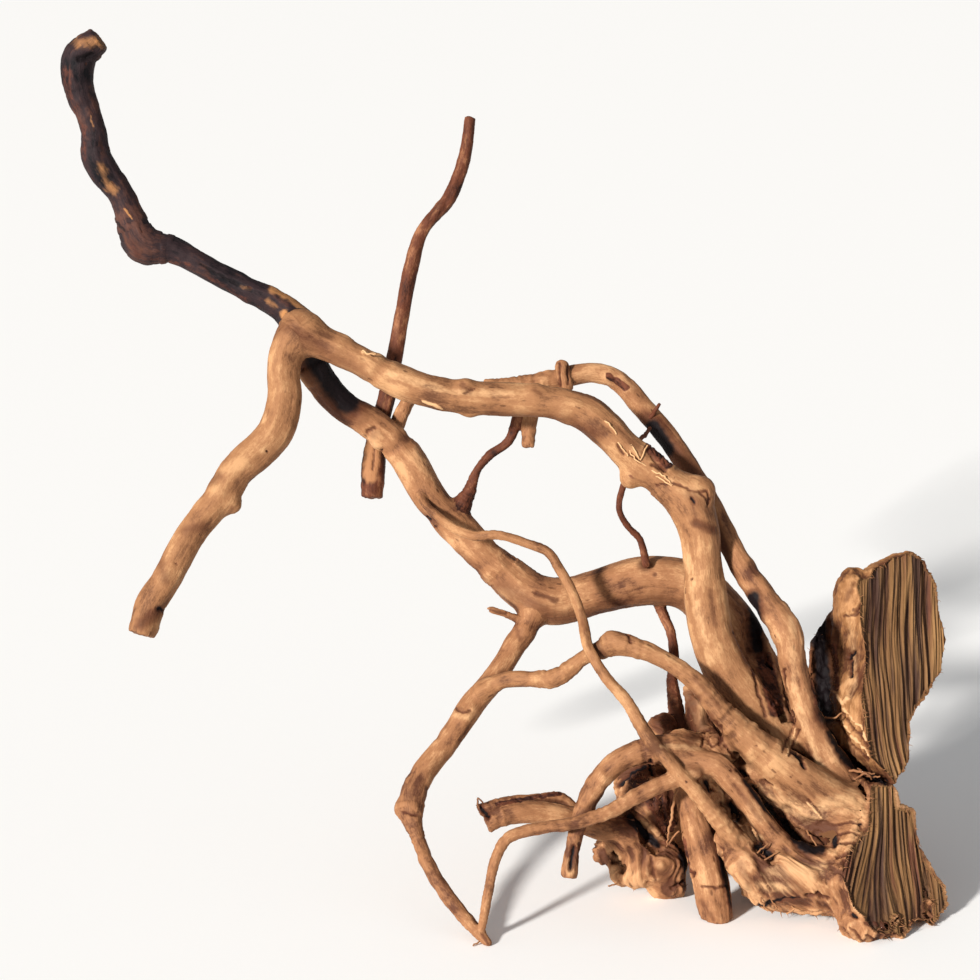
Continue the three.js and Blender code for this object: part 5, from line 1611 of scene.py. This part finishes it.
# %% Helpers for geometry nodes
def geometry_tree(name, inputs):
    """A geometry node tree with named number inputs, and its input and output nodes."""
    tree = bpy.data.node_groups.new(name, "GeometryNodeTree")
    tree.interface.new_socket("Geometry", in_out="INPUT", socket_type="NodeSocketGeometry")
    for label, value in inputs.items():
        kind = "NodeSocketInt" if isinstance(value, int) else "NodeSocketFloat"
        socket = tree.interface.new_socket(label, in_out="INPUT", socket_type=kind)
        socket.default_value = value
    tree.interface.new_socket("Geometry", in_out="OUTPUT", socket_type="NodeSocketGeometry")
    return tree, tree.nodes.new("NodeGroupInput").outputs, tree.nodes.new("NodeGroupOutput")


def step(tree, kind, inputs, **settings):
    """A geometry node, its settings made and its inputs set or linked."""
    made = tree.nodes.new(kind)
    for setting, value in settings.items():
        setattr(made, setting, value)
    for socket, value in inputs.items():
        if isinstance(value, bpy.types.NodeSocket):
            tree.links.new(value, made.inputs[socket])
        else:
            made.inputs[socket].default_value = value
    return made


def baked(name, source, tree, values):
    """The plain mesh that a tree makes from a source mesh, as a piece of the wood."""
    holder = bpy.data.objects.new(name + "_source", source)
    bpy.context.scene.collection.objects.link(holder)
    modifier = holder.modifiers.new("nodes", "NODES")
    modifier.node_group = tree
    for item in tree.interface.items_tree:
        if item.in_out == "INPUT" and item.name in values:
            modifier[item.identifier] = values[item.name]
    bpy.context.view_layer.update()
    depsgraph = bpy.context.evaluated_depsgraph_get()
    made = bpy.data.meshes.new_from_object(holder.evaluated_get(depsgraph))
    bpy.data.objects.remove(holder)
    made.name = name
    piece = bpy.data.objects.new(name, made)
    bpy.context.scene.collection.objects.link(piece)
    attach(piece, "root")
    print(name, len(made.polygons), "faces")
    return piece


# %% Strands along the routes
def strand_mesh(name, routes, pale, wobble=0.25):
    """A mesh of edges along the routes, with the thickness and the dye of each point."""
    spots, edges, radii = [], [], []
    for number, route in enumerate(routes):
        samples = smooth_route(route, spacing=1.5)
        samples[:, :3] += wobble * np.random.default_rng(number).normal(size=(len(samples), 3))
        begin = len(spots)
        spots.extend((samples[:, :3] * MM).tolist())
        edges.extend((begin + k, begin + k + 1) for k in range(len(samples) - 1))
        radii.extend((samples[:, 3] * MM).tolist())
    strands = bpy.data.meshes.new(name)
    strands.from_pydata(spots, edges, [])
    strands.attributes.new("thickness", "FLOAT", "POINT").data.foreach_set("value", radii)
    dye_and_painted_light_layer = strands.attributes.new("dye_and_painted_light", "FLOAT_COLOR", "POINT")
    dye_and_painted_light_layer.data.foreach_set("color", [0, pale, 0, 1] * len(spots))
    return strands


def finish_sweep(tree, given, out, slot):
    """Fills a tree that sweeps a circle along its curves and paints the result."""
    curves = step(tree, "GeometryNodeMeshToCurve", {"Mesh": given["Geometry"]})
    inputs = {"Name": "thickness"}
    thickness = step(tree, "GeometryNodeInputNamedAttribute", inputs, data_type="FLOAT")
    inputs = {0: thickness.outputs[0], 1: given["Thickness"]}
    radius = step(tree, "ShaderNodeMath", inputs, operation="MULTIPLY")
    inputs = {"Resolution": given["Sides"], "Radius": 1.0}
    profile = step(tree, "GeometryNodeCurvePrimitiveCircle", inputs)
    inputs = {
        "Curve": curves.outputs[0], "Profile Curve": profile.outputs[0],
        "Scale": radius.outputs[0], "Fill Caps": True,
    }
    swept = step(tree, "GeometryNodeCurveToMesh", inputs)
    smooth = step(tree, "GeometryNodeSetShadeSmooth", {"Geometry": swept.outputs[0]})
    real = step(tree, "GeometryNodeRealizeInstances", {"Geometry": smooth.outputs[0]})
    inputs = {"Geometry": real.outputs[0], "Material": MATERIALS[slot]}
    painted = step(tree, "GeometryNodeSetMaterial", inputs)
    tree.links.new(painted.outputs[0], out.inputs[0])


def sweep_strands(name, routes, slot, pale=0):
    """A piece of round strands along routes."""
    tree, given, out = geometry_tree("sweep_" + name, {"Sides": 6, "Thickness": 1.0})
    finish_sweep(tree, given, out, slot)
    return baked(name, strand_mesh(name + "_routes", routes, pale), tree, {"Sides": 6})


pieces["root_hairs"] = sweep_strands("root_hairs", HAIRS, "bare_wood")
pieces["peeled_splinters"] = sweep_strands("peeled_splinters", SPLINTERS, "pale_wood", pale=1)
pieces["snapped_twigs"] = sweep_strands("snapped_twigs", TWIGS, "dark_wood")

# %% [markdown]
# ## Torn fibres
#
# Where the saw tore the wood and where bark came off, short fibres stand up. They are one
# bent pointed fibre, placed hundreds of times: each point of a source mesh says in which
# direction its fibre grows and how long it is. The tree turns and scales a copy for each.

# %% Where fibres grow
rng = np.random.default_rng(7)
on_burl = np.isin(first, [BURL, SLAB])
face_edge = np.nonzero((sawn > 0.15) & (sawn < 0.85))[0]
rough_bark = np.nonzero((dye_and_painted_light[:, 2] > 0.6) & on_burl)[0]
crannies = np.nonzero((crevice > 0.35) & (crevice < 0.7) & on_burl & (points[:, 2] > 3))[0]
under_edge = np.nonzero((points[:, 2] > 2) & (points[:, 2] < 9) & (first == BURL))[0]
FIBRE_KINDS = [
    (face_edge, 420, 2.6, (0.2, 0, -0.6)), (rough_bark, 260, 2.2, (0, 0, 0.5)),
    (crannies, 260, 2.4, (0, 0, -0.2)), (under_edge, 160, 3.4, (0, 0, -0.5)),
]
roots = []
growth = []
for grounds, count, length, lean in FIBRE_KINDS:
    chosen = rng.choice(grounds, size=min(count, len(grounds)), replace=False)
    way = normals[chosen] + np.array(lean) + 0.55 * rng.normal(size=(len(chosen), 3))
    way /= np.linalg.norm(way, axis=1)[:, None]
    roots.append(points[chosen] - 0.4 * normals[chosen])
    growth.append(way * (length * rng.uniform(0.4, 1.5, size=(len(chosen), 1))))
roots = np.concatenate(roots)
growth = np.concatenate(growth)
safe = roots[:, 2] + growth[:, 2] > 0.2
fibre_roots = bpy.data.meshes.new("fibre_roots")
fibre_roots.from_pydata((roots[safe] * MM).tolist(), [], [])
layer = fibre_roots.attributes.new("growth", "FLOAT_VECTOR", "POINT")
layer.data.foreach_set("vector", (growth[safe] * MM).ravel())
print(safe.sum(), "fibres")

# %% One bent fibre, placed at every root
FULL_TURN = 6.28  # radians
tree, given, out = geometry_tree("torn_fibres", {"Thickness": 0.11, "Bend": 0.25, "Seed": 3})
bend = step(tree, "ShaderNodeCombineXYZ", {"X": given["Bend"], "Z": 0.55})
inputs = {"Resolution": 4, "Start": (0, 0, 0), "Middle": bend.outputs[0], "End": (0, 0, 1)}
line = step(tree, "GeometryNodeCurveQuadraticBezier", inputs)
along = step(tree, "GeometryNodeSplineParameter", {})
taper = step(tree, "ShaderNodeMath", {0: 1.02, 1: along.outputs["Factor"]}, operation="SUBTRACT")
growth_of = step(tree, "GeometryNodeInputNamedAttribute", {"Name": "growth"}, data_type="FLOAT_VECTOR")
profile = step(tree, "GeometryNodeCurvePrimitiveCircle", {"Resolution": 3, "Radius": given["Thickness"]})
inputs = {
    "Curve": line.outputs[0], "Profile Curve": profile.outputs[0],
    "Scale": taper.outputs[0], "Fill Caps": True,
}
fibre = step(tree, "GeometryNodeCurveToMesh", inputs)
turn = step(tree, "FunctionNodeAlignRotationToVector", {"Vector": growth_of.outputs[0]}, axis="Z")
inputs = {"Min": (0, 0, 0), "Max": (0, 0, FULL_TURN), "Seed": given["Seed"]}
spin = step(tree, "FunctionNodeRandomValue", inputs, data_type="FLOAT_VECTOR")
inputs = {"Rotation": turn.outputs[0], "Rotate By": spin.outputs[0]}
turned = step(tree, "FunctionNodeRotateRotation", inputs, rotation_space="LOCAL")
size = step(tree, "ShaderNodeVectorMath", {0: growth_of.outputs[0]}, operation="LENGTH")
inputs = {
    "Points": given["Geometry"], "Instance": fibre.outputs[0],
    "Rotation": turned.outputs[0], "Scale": size.outputs["Value"],
}
placed = step(tree, "GeometryNodeInstanceOnPoints", inputs)
real = step(tree, "GeometryNodeRealizeInstances", {"Geometry": placed.outputs[0]})
inputs = {"Geometry": real.outputs[0], "Material": MATERIALS["bare_wood"]}
painted = step(tree, "GeometryNodeSetMaterial", inputs)
tree.links.new(painted.outputs[0], out.inputs[0])
pieces["torn_fibres"] = baked("torn_fibres", fibre_roots, tree, {"Seed": 3})

# %% [markdown]
# ## Floor and light
#
# The wood stands on a plain pale floor. One sun from the front left shows its relief, and
# the pale sky all round keeps the far sides readable.

# %% Floor
floor_data = bpy.data.meshes.new("floor")
FLOOR_SIDE = 12.0
floor_corners = [(x * FLOOR_SIDE, y * FLOOR_SIDE, 0) for x, y in ((-1, -1), (1, -1), (1, 1), (-1, 1))]
floor_data.from_pydata(floor_corners, [], [(0, 1, 2, 3)])
floor = bpy.data.objects.new("floor", floor_data)
bpy.context.scene.collection.objects.link(floor)
floor_paint = bpy.data.materials.new("pale_floor")
floor_paint.use_nodes = True
floor_surface = floor_paint.node_tree.nodes["Principled BSDF"]
floor_surface.inputs["Base Color"].default_value = (0.96, 0.96, 0.95, 1)
floor_surface.inputs["Roughness"].default_value = 0.9
floor_data.materials.append(floor_paint)


# %% Lights
def sun(name, towards_light, strength, softness, colour):
    """A distant light, soft because it is seen as a disc of so many degrees."""
    data = bpy.data.lights.new(name, "SUN")
    data.energy = strength
    data.angle = math.radians(softness)
    data.color = colour
    light = bpy.data.objects.new(name, data)
    light.rotation_euler = Vector(towards_light).to_track_quat("Z", "Y").to_euler()
    bpy.context.scene.collection.objects.link(light)


sun("key", (-0.75, -0.9, 0.46), 5.8, 6, (1.0, 0.97, 0.93))

world = bpy.data.worlds.new("studio")
world.use_nodes = True
world.node_tree.nodes["Background"].inputs["Color"].default_value = (0.97, 0.98, 1.0, 1)
world.node_tree.nodes["Background"].inputs["Strength"].default_value = 0.36
bpy.context.scene.world = world
bpy.context.scene.view_settings.view_transform = "Standard"
